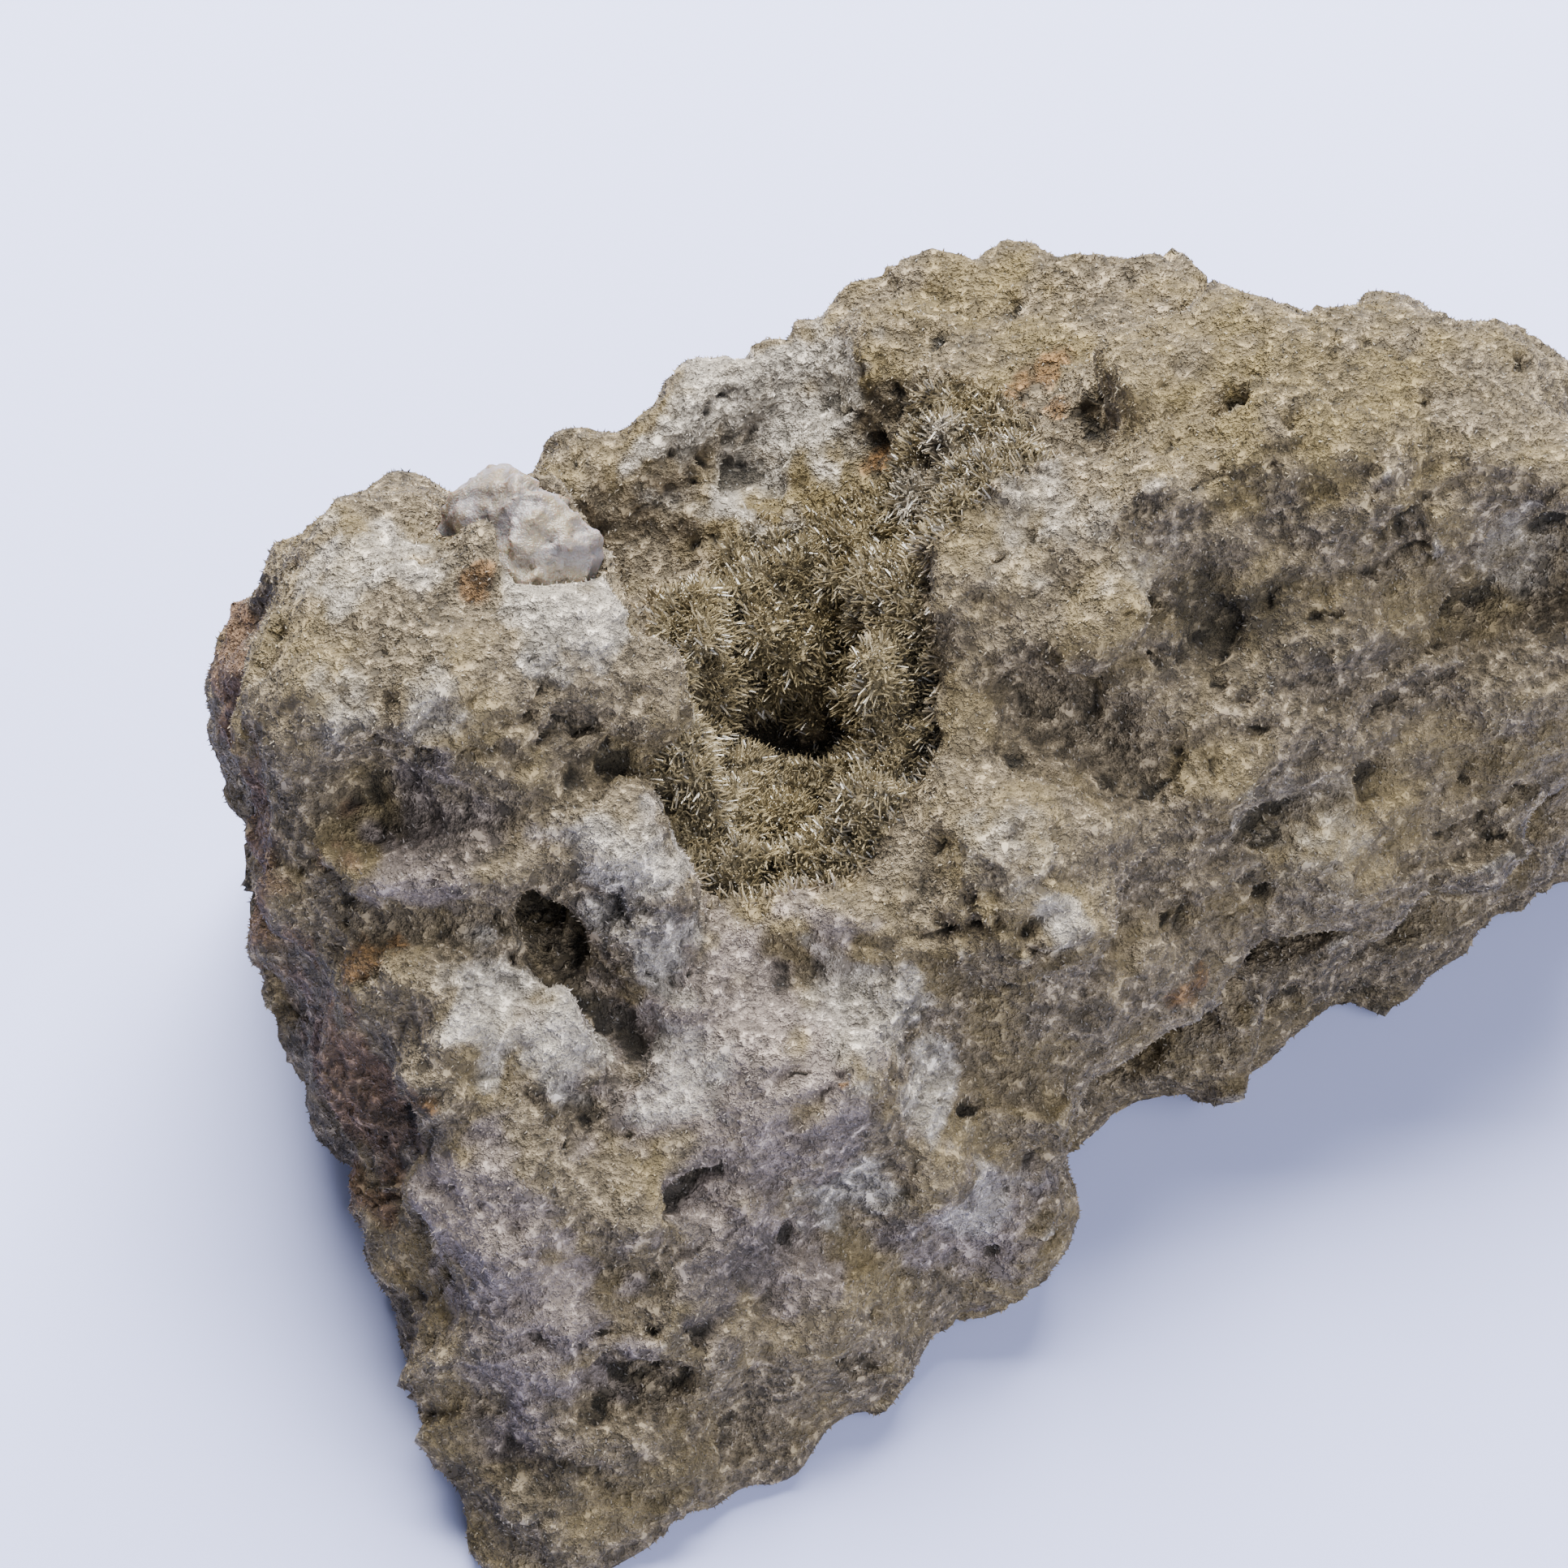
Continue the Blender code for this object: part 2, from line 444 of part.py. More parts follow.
def ellipsoid(centre, half_sizes, turn, smaller):
    """Corners of a smooth egg, made smaller all round by a given amount."""
    rotation = Euler([math.radians(angle) for angle in turn]).to_matrix()
    rings, sides = 9, 16
    corners = []
    for ring in range(1, rings):
        polar = math.pi * ring / rings
        for side in range(sides):
            around = 2 * math.pi * (side + 0.5 * (ring % 2)) / sides
            way = Vector((math.sin(polar) * math.cos(around), math.sin(polar) * math.sin(around), math.cos(polar)))
            corners.append(rotation @ Vector(w * (h - smaller) for w, h in zip(way, half_sizes)) + Vector(centre))
    return corners


def hollow_body(name, smaller, triangles):
    """The room of the hollow, made smaller all round by a given amount."""
    item = fused(name, [ellipsoid(*egg, smaller) for egg in HOLLOW], HOLLOW_VOXEL)
    smoothed(item, *HOLLOW_SMOOTHING)
    thinned(item, triangles)
    item.hide_render = True
    item.display_type = "WIRE"
    return item


def stone_material(name, colour, roughness):
    """A plain Principled surface."""
    material = bpy.data.materials.new(name)
    material.use_nodes = True
    shader = material.node_tree.nodes["Principled BSDF"]
    shader.inputs["Base Color"].default_value = (*colour, 1)
    shader.inputs["Roughness"].default_value = roughness
    shader.inputs["Metallic"].default_value = 0.0
    return material


def broken_lump():
    """The fused, cut and roughened lump, still without its hollow."""
    lumps = [chipped_lump(*lump) for lump in LUMPS.values()]
    rock = fused("johannsenite_rock", list(BLOCKS.values()) + lumps, FUSE_VOXEL)
    clefts = fused("clefts", [chipped_lump(*cleft) for cleft in CLEFTS.values()], CLEFT_VOXEL)
    boolean(rock, clefts, "DIFFERENCE")
    bpy.data.objects.remove(clefts)
    smoothed(rock, *ROCK_SMOOTHING)
    roughened(rock)
    regrid(rock, SKIN_VOXEL)
    thinned(rock, ROCK_TRIANGLES)
    flat_foot(rock, FOOT_HEIGHT)
    return rock


def spike(bm, root, tip, width):
    """Add one coarse three-sided needle to the bmesh."""
    way = (tip - root).normalized()
    side = way.orthogonal().normalized()
    corners = [root + (side * math.cos(a) + way.cross(side) * math.sin(a)) * width / 2
               for a in (0, 2 * math.pi / 3, 4 * math.pi / 3)]
    hull_of(bm, corners + [tip])


def lining(rock):
    """The needle crust: the shell of the hollow that lies inside the lump, with coarse needles."""
    crust = hollow_body("needle_crust", SEAT_GAP, HOLLOW_TRIANGLES)
    room = hollow_body("room", CRUST_DEPTH, HOLLOW_TRIANGLES)
    places, normals = vertices_of(room)
    spacing, height = CRUST_LUMPS
    for i in range(len(places)):
        nearest = noise.voronoi(Vector(places[i]) / spacing)[0]
        places[i] += normals[i] * (CRUST_LUMP_MEAN - nearest[0]) * height
    place_vertices(room, places)
    mounds = fused("mounds", [chipped_lump(*mound) for mound in MOUNDS.values()], CLEFT_VOXEL)
    thinned(mounds, MOUND_TRIANGLES)
    boolean(room, mounds, "DIFFERENCE")
    boolean(crust, room, "DIFFERENCE")
    boolean(crust, rock, "INTERSECT")
    needles = coarse_needles(rock, *vertices_of(room))
    boolean(crust, needles, "UNION")
    bpy.data.objects.remove(mounds)
    bpy.data.objects.remove(room)
    bpy.data.objects.remove(needles)
    crust.hide_render = False
    crust.display_type = "TEXTURED"
    return crust


def lies_inside(item, place, depth):
    """Whether a place lies at least this deep in a body, in millimetres."""
    found, hit, normal, _ = item.closest_point_on_mesh(place * MM)
    return found and (place - hit / MM).dot(normal) < -depth


def coarse_needles(rock, places, normals):
    """Coarse needles that stand out of the crust's inner face, in one loose mesh."""
    chance = np.random.default_rng(NEEDLE_SEED)
    facing = np.flatnonzero(normals[:, 2] < NEEDLE_FACING)
    low = [i for i in facing if lies_inside(rock, Vector(places[i]), NEEDLE_DEPTH)]
    bm = bmesh.new()
    for i in chance.choice(low, NEEDLE_COUNT, replace=False):
        way = Vector(-normals[i] + chance.normal(0, NEEDLE_SPREAD, 3)).normalized()
        root = Vector(places[i]) - way * NEEDLE_LENGTH * NEEDLE_ROOT
        spike(bm, root, root + way * NEEDLE_LENGTH * chance.uniform(*NEEDLE_STRETCH), NEEDLE_WIDTH)
    bmesh.ops.recalc_face_normals(bm, faces=bm.faces)
    return new_object("needles", bm)


def glassy_grain(name, scale):
    """The broken grain of quartz, with flat faces between its corners."""
    rotation = Euler([math.radians(angle) for angle in QUARTZ_TURN]).to_matrix()
    bm = bmesh.new()
    hull_of(bm, [rotation @ (Vector(corner) * scale) + Vector(QUARTZ_MIDDLE) for corner in QUARTZ_CORNERS])
    bmesh.ops.recalc_face_normals(bm, faces=bm.faces)
    return new_object(name, bm)


def centre_on_foot(items):
    """Move the pieces so that the origin is under the middle of their common box."""
    places = np.concatenate([vertices_of(item)[0] for item in items])
    low, high = places.min(axis=0), places.max(axis=0)
    shift = np.array([-(low[0] + high[0]) / 2, -(low[1] + high[1]) / 2, -low[2]])
    for item in items:
        place_vertices(item, vertices_of(item)[0] + shift)


def main():
    for item in list(bpy.data.objects):
        bpy.data.objects.remove(item)
    noise.seed_set(NOISE_SEED)
    rock = broken_lump()
    crust = lining(rock)
    cutter = hollow_body("hollow", 0.0, HOLLOW_TRIANGLES)
    boolean(rock, cutter, "DIFFERENCE")
    bpy.data.objects.remove(cutter)
    quartz = glassy_grain("quartz_lump", 1.0)
    socket = glassy_grain("socket", SOCKET_SCALE)
    boolean(rock, socket, "DIFFERENCE")
    bpy.data.objects.remove(socket)
    keep_largest(rock)
    keep_largest(crust)
    centre_on_foot((rock, crust, quartz))
    for item, name, colour, roughness in (
        (rock, "felted johannsenite", (0.24, 0.21, 0.16), 0.9),
        (crust, "johannsenite needles", (0.17, 0.15, 0.09), 0.6),
        (quartz, "white quartz", (0.6, 0.58, 0.56), 0.4),
    ):
        item.data.materials.clear()
        item.data.materials.append(stone_material(name, colour, roughness))


main()
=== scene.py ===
"""Looks of a johannsenite hand specimen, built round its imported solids.

The file is laid out as an add-on and run as a script. One operator makes each piece or group of like
pieces: the stage, the broken stone's skin, the felt of short fibres on it, the needles in the hollow
and the grain of quartz. Places on the stone are given in millimetres from an anchor on its foot, with
X to the right, Y away from the viewer and Z up.
"""

import math

import bmesh
import bpy
import numpy as np
from bpy.props import FloatProperty, FloatVectorProperty, IntProperty, PointerProperty
from mathutils import Euler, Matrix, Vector, noise
from mathutils.bvhtree import BVHTree


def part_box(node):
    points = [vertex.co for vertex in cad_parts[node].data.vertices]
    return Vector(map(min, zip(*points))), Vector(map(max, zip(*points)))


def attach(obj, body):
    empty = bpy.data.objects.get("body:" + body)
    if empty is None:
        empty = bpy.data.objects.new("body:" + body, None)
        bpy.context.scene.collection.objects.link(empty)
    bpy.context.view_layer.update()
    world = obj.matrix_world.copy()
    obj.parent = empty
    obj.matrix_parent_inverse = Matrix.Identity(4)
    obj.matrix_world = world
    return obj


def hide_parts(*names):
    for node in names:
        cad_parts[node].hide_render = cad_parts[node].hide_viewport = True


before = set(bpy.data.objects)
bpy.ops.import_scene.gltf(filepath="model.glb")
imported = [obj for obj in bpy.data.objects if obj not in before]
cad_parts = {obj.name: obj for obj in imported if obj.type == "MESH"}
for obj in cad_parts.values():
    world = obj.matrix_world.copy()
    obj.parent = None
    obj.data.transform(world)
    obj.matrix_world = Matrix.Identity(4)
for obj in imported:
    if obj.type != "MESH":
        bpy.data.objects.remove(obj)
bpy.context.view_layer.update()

bl_info = {
    "name": "Johannsenite Specimen",
    "version": (1, 0, 0),
    "blender": (4, 5, 0),
    "location": "View3D > Sidebar > Specimen",
    "description": "Skin, felt, needles, quartz and a stage for a johannsenite hand specimen",
    "category": "Mesh",
}

BODY = "root"
MM = 0.001

# The anchor is found from the quartz grain, whose lowest X and Y are known from it
GRAIN_CORNER = (-11.85, -3.74)
GRAIN_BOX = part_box("quartz_lump")
ANCHOR = np.array([GRAIN_BOX[0].x / MM - GRAIN_CORNER[0], GRAIN_BOX[0].y / MM - GRAIN_CORNER[1], 0.0])

MOST_TRIANGLES = 199000     # a piece stays under this
SLIVER = 1e-6               # metres between points that are merged
BLUR_ROUNDS = 30            # of smoothing, for the skin that crests and cavities are measured from
PAPER_HALF = 0.6            # metres, half the side of the paper
GRAIN_GROWTH = 1.14         # of the quartz about its middle, so that it meets the skin
GRAIN_GRID = 0.16 * MM      # spacing of the quartz grain's mesh
REFLECTOR_SHARE = 0.28      # of the softbox's power

# What the camera and the lamps point at, in millimetres from the anchor
TARGET = (2.0, -2.0, 12.0)
LIT_SPOT = (6.0, 0.0, 10.0)

# Ways in which the ribs of fibres run, and how many times they are drawn out along them
LEFT_RIBS = ((0.25, -0.35, 1.0), 6.0)
TOE_RIBS = ((1.0, -0.3, -0.3), 4.0)
RIGHT_RIBS = ((0.83, 0.55, 0.12), 7.0)

# Smallest and largest of a needle's two widths and its length, over the usual ones
SMALLEST = (0.7, 0.7, 0.45)
LARGEST = (1.2, 1.2, 1.35)

# Inputs and output of a Mix node for colours, whose names don't tell them from those for numbers
MIX_FACTOR, MIX_BELOW, MIX_ABOVE = 0, 6, 7
MIX_COLOUR = 2


def linear(code):
    """An sRGB hex colour as linear red, green and blue."""
    parts = [int(code[i:i + 2], 16) / 255 for i in (1, 3, 5)]
    return tuple(p / 12.92 if p <= 0.04045 else ((p + 0.055) / 1.055) ** 2.4 for p in parts)


def opaque(colour):
    """Red, green and blue with full alpha, as a node's colour input takes them."""
    return (*colour, 1)


# Marks on the stone: the middle of each, its radius in millimetres, and its strength

PALE_AND_LIT_MARKS = {
    "crest of the left block": ((-15.0, -2.4, 27.6), 4.6, 0.9),
    "patch beside the quartz": ((-6.6, -5.2, 27.4), 4.2, 1.15),
    "ledge on the left block": ((-15.4, -9.8, 26.4), 2.6, 0.8),
    "ledge, right half": ((-11.6, -10.1, 26.8), 2.4, 0.8),
    "flake": ((-4.6, -13.6, 21.4), 3.8, 1.1),
    "flake, foot": ((-3.0, -15.6, 18.4), 3.0, 1.1),
    "shoulder below the flake": ((-9.6, -17.5, 17.6), 4.0, 1.1),
    "shoulder, right": ((-6.4, -19.0, 16.7), 3.2, 1.1),
    "high peak": ((12.0, 0.2, 26.8), 4.2, 0.7),
    "peak, right": ((16.2, -2.2, 26.3), 3.4, 0.5),
    "knob": ((11.2, -12.0, 21.0), 4.0, 0.6),
    "lip of the knob": ((13.0, -14.0, 18.6), 2.0, 1.0),
    "front slope": ((5.4, -16.4, 16.2), 3.8, 0.9),
    "front ridge, middle": ((8.0, -18.2, 12.3), 2.8, 1.0),
    "front ridge, foot": ((4.6, -21.6, 10.4), 2.8, 1.0),
    "front ridge, right": ((9.6, -20.4, 8.2), 3.6, 0.9),
    "left of the front slope": ((-1.8, -19.1, 14.7), 3.4, 0.9),
    "needle slope": ((8.4, 6.4, 21.9), 3.8, 0.8),
    # Painted light on the far slope, which faces up and back towards the softbox
    "far slope, painted light": ((1.0, 13.4, 18.6), 7.0, 1.1),
    "right face": ((23.4, -7.6, 16.4), 5.0, 0.6),
    "right end": ((32.0, 1.6, 23.4), 4.0, 0.7),
}
LILAC_MARKS = {
    "front slope, left": ((-9.8, -24.6, 12.4), 5.6, 1.0),
    "front toe": ((-8.2, -28.4, 8.4), 6.0, 1.0),
    "low front face": ((0.6, -24.4, 9.6), 5.4, 1.0),
    "front slope": ((0.0, -18.6, 15.0), 10.0, 0.9),
    "flake": ((-4.4, -13.8, 20.4), 5.0, 0.8),
    "left block under its ledge": ((-11.8, -12.4, 21.6), 4.6, 0.9),
    "foot of the front slope": ((9.4, -20.6, 6.6), 5.0, 1.0),
}
BROWN_MARKS = {
    "left flank, top": ((-21.0, -2.6, 19.6), 6.0, 1.0),
    "left flank, middle": ((-19.6, -9.6, 17.0), 7.0, 1.0),
    "left flank, foot": ((-16.4, -17.0, 10.8), 7.4, 1.0),
}
# Dark marks: darker towards the toe and the low front, and painted shade under the tip, behind the ridge and
# on the shelf under the overhang
DARK_AND_SHADE_MARKS = {
    "tip of the toe": ((-9.0, -32.0, 4.0), 5.0, 0.7),
    "toe, right": ((-3.0, -30.0, 3.0), 4.0, 0.5),
    "concave face": ((-0.6, -25.4, 9.0), 5.0, 0.7),
    "low front, left": ((-9.0, -26.6, 10.0), 4.0, 0.3),
    "under the tip": ((-6.8, -9.4, 25.2), 1.8, 0.8),
    "behind the ridge": ((19.0, -2.0, 23.0), 4.6, 0.8),
    "behind the ridge, right": ((22.4, -2.4, 23.0), 4.0, 0.7),
    "shelf": ((27.0, -5.4, 4.3), 6.0, 0.6),
}
RUST_MARKS = {
    "fibres beside the quartz": ((-10.3, -3.8, 27.5), 1.4, 1.0),
    "hump, left": ((12.8, 10.9, 23.2), 2.2, 0.9),
    "hump, right": ((13.3, 8.4, 23.7), 1.2, 0.9),
    "slope": ((6.3, 10.8, 18.4), 1.8, 0.9),
    "front slope": ((4.2, -19.8, 16.0), 0.7, 1.1),
    "shelf": ((18.3, -12.5, 12.3), 1.5, 1.0),
    "left flank, upper": ((-14.6, -15.4, 17.6), 1.9, 0.9),
    "left flank, lower": ((-12.6, -20.8, 15.6), 1.4, 0.9),
}
OLIVE_MARKS = {
    "slope behind the hollow": ((4.0, 9.0, 18.5), 8.0, 0.9),
    "top of the right block": ((24.0, 5.0, 28.5), 9.0, 0.9),
    "back hump": ((12.0, 14.0, 22.6), 8.0, 0.7),
    "right face": ((23.0, -6.0, 17.0), 9.0, 0.4),
}
MARKS = {
    "pale": PALE_AND_LIT_MARKS,
    "lilac": LILAC_MARKS,
    "brown": BROWN_MARKS,
    "dark": DARK_AND_SHADE_MARKS,
    "rust": RUST_MARKS,
    "olive": OLIVE_MARKS,
}

# Places that are pressed in: the middle of each and its half sizes in millimetres, its turn in degrees,
# and its depth in millimetres
CAVES = {
    "cave at the foot of the needle slope": ((2.6, -0.8, 13.2), (3.4, 1.4, 1.6), (0, 0, -4), 1.4),
    "cave under the left block": ((-1.6, -1.2, 17.2), (1.6, 1.1, 2.0), (0, 0, 20), 2.0),
    "pit in the right block": ((20.2, 4.5, 29.1), (1.2, 0.7, 1.6), (0, 0, 30), 2.2),
    "crack behind the flake": ((-7.6, -12.7, 17.4), (0.7, 2.6, 2.4), (0, 0, 34), 0.2),
    "hole beside the flake's foot": ((-3.9, -17.0, 15.4), (2.8, 0.6, 1.2), (0, 0, -34), 0.3),
    "pit low on the front": ((-2.1, -22.7, 12.3), (1.1, 0.6, 0.9), (0, 0, 20), 1.0),
    "hole in the concave face": ((-1.0, -26.8, 8.3), (0.9, 0.6, 0.8), (0, 0, 0), 0.6),
    "recess in the toe": ((-4.1, -28.0, 6.6), (3.0, 0.8, 0.9), (0, 0, 24), 0.7),
    "recess under the knob": ((10.6, -14.7, 18.0), (3.4, 0.7, 0.7), (0, 0, -8), 1.2),
    "groove under the left ledge": ((-12.6, -11.2, 24.9), (4.4, 0.8, 0.6), (0, 0, 4), 1.0),
    "crack under the tip": ((-6.5, -9.5, 25.0), (3.2, 0.5, 0.6), (0, 0, 6), 0.9),
    "slot in the ridge": ((16.8, -3.6, 24.4), (2.4, 0.5, 0.6), (0, 0, 8), 0.9),
    "gap over the shelf": ((22.4, -9.2, 9.2), (8.0, 0.9, 0.7), (0, -3, 35), 0.9),
}


class SkinSettings(bpy.types.PropertyGroup):
    """Sizes of the stone's broken skin."""

    grid: FloatProperty(
        name="Grid", description="Spacing of the skin's mesh", default=0.37 * MM, unit="LENGTH", precision=5)
    gap: FloatProperty(
        name="Gap", description="Gaps between the solids up to twice this wide are closed",
        default=0.26 * MM, unit="LENGTH", precision=5)
    softening: IntProperty(
        name="Softening", description="Rounds of smoothing that wear off the solids' flat facets", default=1)
    swell: FloatProperty(
        name="Swell", description="Height of the broad swells", default=0.16 * MM, unit="LENGTH", precision=5)
    flats: FloatProperty(
        name="Flats", description="Height of the tilted flats of the break", default=0.26 * MM,
        unit="LENGTH", precision=5)
    clods: FloatProperty(
        name="Clods", description="Height of the matted clods", default=0.1 * MM, unit="LENGTH", precision=5)
    crests: FloatProperty(
        name="Crests", description="Height of the sharp crests between small hollows", default=0.25 * MM,
        unit="LENGTH", precision=5)
    crumbs: FloatProperty(
        name="Crumbs", description="Height of the crumbs", default=0.12 * MM, unit="LENGTH", precision=5)
    pits: FloatProperty(
        name="Pits", description="Depth of the small dark pits", default=0.6 * MM, unit="LENGTH", precision=5)
    mounds: FloatProperty(
        name="Mounds", description="Height of the mounds in the hollow", default=0.7 * MM,
        unit="LENGTH", precision=5)
    ribs: FloatProperty(
        name="Ribs", description="Height of the fibrous ribs", default=0.3 * MM, unit="LENGTH", precision=5)


class FeltSettings(bpy.types.PropertyGroup):
    """Sizes of the felt of short fibres."""

    density: FloatProperty(name="Density", description="Fibres on a square millimetre", default=15.0)
    length: FloatProperty(
        name="Length", description="Usual length of a fibre", default=0.16 * MM, unit="LENGTH", precision=5)
    width: FloatProperty(
        name="Width", description="Width of a fibre at its root", default=0.1 * MM,
        unit="LENGTH", precision=5)
    bluntness: FloatProperty(
        name="Bluntness", description="Width of the tip over that of the root", default=0.0)
    lean: FloatProperty(name="Lean", description="How far single fibres lean at random", default=1.6)
    comb: FloatProperty(name="Comb", description="How far tufts of fibres lean together", default=1.6)


class NeedleSettings(bpy.types.PropertyGroup):
    """Sizes of the needle crystals in the hollow."""

    density: FloatProperty(name="Density", description="Needles on a square millimetre", default=43.0)
    length: FloatProperty(
        name="Length", description="Usual length of a needle", default=0.52 * MM, unit="LENGTH", precision=5)
    width: FloatProperty(
        name="Width", description="Width of a needle at its root", default=0.1 * MM,
        unit="LENGTH", precision=5)
    bluntness: FloatProperty(
        name="Bluntness", description="Width of the tip over that of the root", default=0.6)
    lean: FloatProperty(name="Lean", description="How far single needles lean at random", default=0.9)
    comb: FloatProperty(name="Comb", description="How far sheaves of needles lean together", default=2.4)


class StageSettings(bpy.types.PropertyGroup):
    """Where the camera stands and how strong the light is."""

    distance: FloatProperty(
        name="Distance", description="From the camera to its target", default=0.25, unit="LENGTH")
    half_width: FloatProperty(
        name="Half width", description="Half of what the camera takes in at its target",
        default=0.033, unit="LENGTH", precision=4)
    elevation: FloatProperty(
        name="Elevation", description="How steeply the camera looks down", default=math.radians(52),
        subtype="ANGLE")
    softbox: FloatProperty(name="Softbox", description="Power of the main light", default=4.9, unit="POWER")
    fill: FloatProperty(name="Fill", description="Strength of the light from all round", default=0.2)


class StoneColours(bpy.types.PropertyGroup):
    """Colours of the stone, its crystals and the paper."""

    tan: FloatVectorProperty(
        name="Tan", description="Matted fibres", subtype="COLOR", default=linear("#837660"))
    olive: FloatVectorProperty(
        name="Olive", description="Fresher fibres", subtype="COLOR", default=linear("#736542"))
    # Painted shade: this colour darkens the skin's hollows and the places under the tip, behind the ridge and
    # on the shelf; it also darkens the toe and the low front
    shade: FloatVectorProperty(
        name="Shade", description="Stone between the clods", subtype="COLOR", default=linear("#2c2820"))
    pale: FloatVectorProperty(
        name="Pale", description="Bleached crests", subtype="COLOR", default=linear("#bcb4a8"))
    lilac: FloatVectorProperty(
        name="Lilac", description="Greyish pink faces", subtype="COLOR", default=linear("#928682"))
    brown: FloatVectorProperty(
        name="Brown", description="Reddish brown flank", subtype="COLOR", default=linear("#755a47"))
    rust: FloatVectorProperty(
        name="Rust", description="Iron stain", subtype="COLOR", default=linear("#6a4e2e"))
    needle: FloatVectorProperty(
        name="Needle", description="Needle crystals", subtype="COLOR", default=linear("#807457"))
    quartz: FloatVectorProperty(
        name="Quartz", description="Cloudy quartz", subtype="COLOR", default=linear("#8b8484"))
    paper: FloatVectorProperty(
        name="Paper", description="The floor", subtype="COLOR", default=linear("#b9c1ee"))


def add(tree, kind, inputs=None, **settings):
    """Add a node with its settings. An input takes a plain value or another node's output."""
    made = tree.nodes.new(kind)
    for name, value in settings.items():
        setattr(made, name, value)
    for name, value in (inputs or {}).items():
        if isinstance(value, bpy.types.NodeSocket):
            tree.links.new(value, made.inputs[name])
        else:
            made.inputs[name].default_value = value
    return made


def new_material(name):
    """A new material with its node tree."""
    material = bpy.data.materials.new(name)
    material.use_nodes = True
    return material


def set_shader(material, colour, normal=None, **values):
    """Give a material's shader its constants, and link its colour and its normal."""
    tree = material.node_tree
    shader = tree.nodes["Principled BSDF"]
    for label, value in values.items():
        shader.inputs[label.replace("_", " ")].default_value = value
    tree.links.new(colour, shader.inputs["Base Color"])
    if normal:
        tree.links.new(normal, shader.inputs["Normal"])
    return material


def stone_colour(tree, colours, fibres):
    """Colour of johannsenite: felted tan and olive, bleached on its crests, with painted shade between the
    clods.

    Each layer is laid where a noise, plus the named attribute if it has one, passes from its low value
    to its high one. Its strength is how far it hides the layers under it. Fibres are dark at the root
    and light at the tip, which is painted shade and painted light along each fibre; bare stone has fine
    light grains with dark gaps, a random tone whose dark gaps are also painted shade in the bump's
    hollows. The second thing that is returned is how light a place is, so that the bare stone can be
    pressed in where it is dark.
    """
    layers = (
        (None, "broad", 0.44, 0.62, 0.65, colours.olive),
        ("olive", "broad", 0.85, 1.50, 0.80, colours.olive),
        ("lilac", "broad", 0.85, 1.50, 0.75, colours.lilac),
        ("brown", "broad", 0.85, 1.50, 0.80, colours.brown),
        ("needle", "middle", 0.90, 1.40, 0.80, colours.needle),
        ("pale", "middle", 0.85, 1.65, 0.80, colours.pale),
        ("crest", "middle", 1.00, 1.60, 0.45, colours.pale),
        # Dark marks: darker towards the toe and the low front, and painted shade under the tip, behind the
        # ridge and on the shelf under the overhang
        ("dark", "broad", 0.80, 1.50, 0.75, colours.shade),
        # Painted shade in the skin's hollows, where it lies below its blurred copy
        ("cavity_shade", "middle", 0.80, 1.40, 0.85, colours.shade),
        ("rust", "fine", 1.00, 1.50, 0.85, colours.rust),
    )
    coords = add(tree, "ShaderNodeTexCoord").outputs["Object"]
    noises = {
        name: add(
            tree, "ShaderNodeTexNoise",
            {"Vector": coords, "Scale": 1 / (size * MM), "Detail": detail, "Roughness": 0.65}).outputs["Fac"]
        for name, size, detail in (("broad", 4.6, 3.0), ("middle", 1.5, 3.0), ("fine", 0.55, 4.0))
    }
    colour = opaque(colours.tan)
    for attribute, size, low, high, strength, paint in layers:
        pattern = noises[size]
        if attribute:
            field = add(tree, "ShaderNodeAttribute", attribute_name=attribute).outputs["Fac"]
            pattern = add(tree, "ShaderNodeMath", {0: pattern, 1: field}, operation="ADD").outputs[0]
        mask = add(
            tree, "ShaderNodeMapRange",
            {"Value": pattern, "From Min": low, "From Max": high, "To Max": strength},
            interpolation_type="SMOOTHSTEP").outputs[0]
        colour = add(
            tree, "ShaderNodeMix", {MIX_FACTOR: mask, MIX_BELOW: colour, MIX_ABOVE: opaque(paint)},
            data_type="RGBA").outputs[MIX_COLOUR]
    # Fine grain: random tone, whose dark gaps also lie in the bump's hollows as painted shade
    darkest = add(
        tree, "ShaderNodeMapRange", {
            "Value": noises["broad"], "From Min": 0.4, "From Max": 0.62, "To Min": 0.2, "To Max": 0.58,
        }).outputs[0]
    value = add(
        tree, "ShaderNodeMapRange", {
            "Value": noises["fine"], "From Min": 0.38, "From Max": 0.62, "To Min": darkest, "To Max": 1.42,
        }).outputs[0]
    # Painted shade at the root of each fibre or needle and painted light at its tip
    if fibres:
        tone = add(tree, "ShaderNodeAttribute", attribute_name="tone").outputs["Fac"]
        tip = add(tree, "ShaderNodeAttribute", attribute_name="tip").outputs["Fac"]
        tone = add(tree, "ShaderNodeMapRange", {"Value": tone, "To Min": 0.75, "To Max": 1.2}).outputs[0]
        tip = add(tree, "ShaderNodeMapRange", {"Value": tip, "To Min": 0.7, "To Max": 1.2}).outputs[0]
        for share in (tone, tip):
            value = add(tree, "ShaderNodeMath", {0: value, 1: share}, operation="MULTIPLY").outputs[0]
    return add(tree, "ShaderNodeHueSaturation", {"Color": colour, "Value": value}).outputs[0], value


def finish_modifiers(item):
    """Put the evaluated mesh in place of the object's own, and drop the modifiers."""
    graph = bpy.context.evaluated_depsgraph_get()
    graph.update()
    mesh = bpy.data.meshes.new_from_object(item.evaluated_get(graph))
    old = item.data
    item.modifiers.clear()
    item.data = mesh
    bpy.data.meshes.remove(old)
    mesh.name = item.name


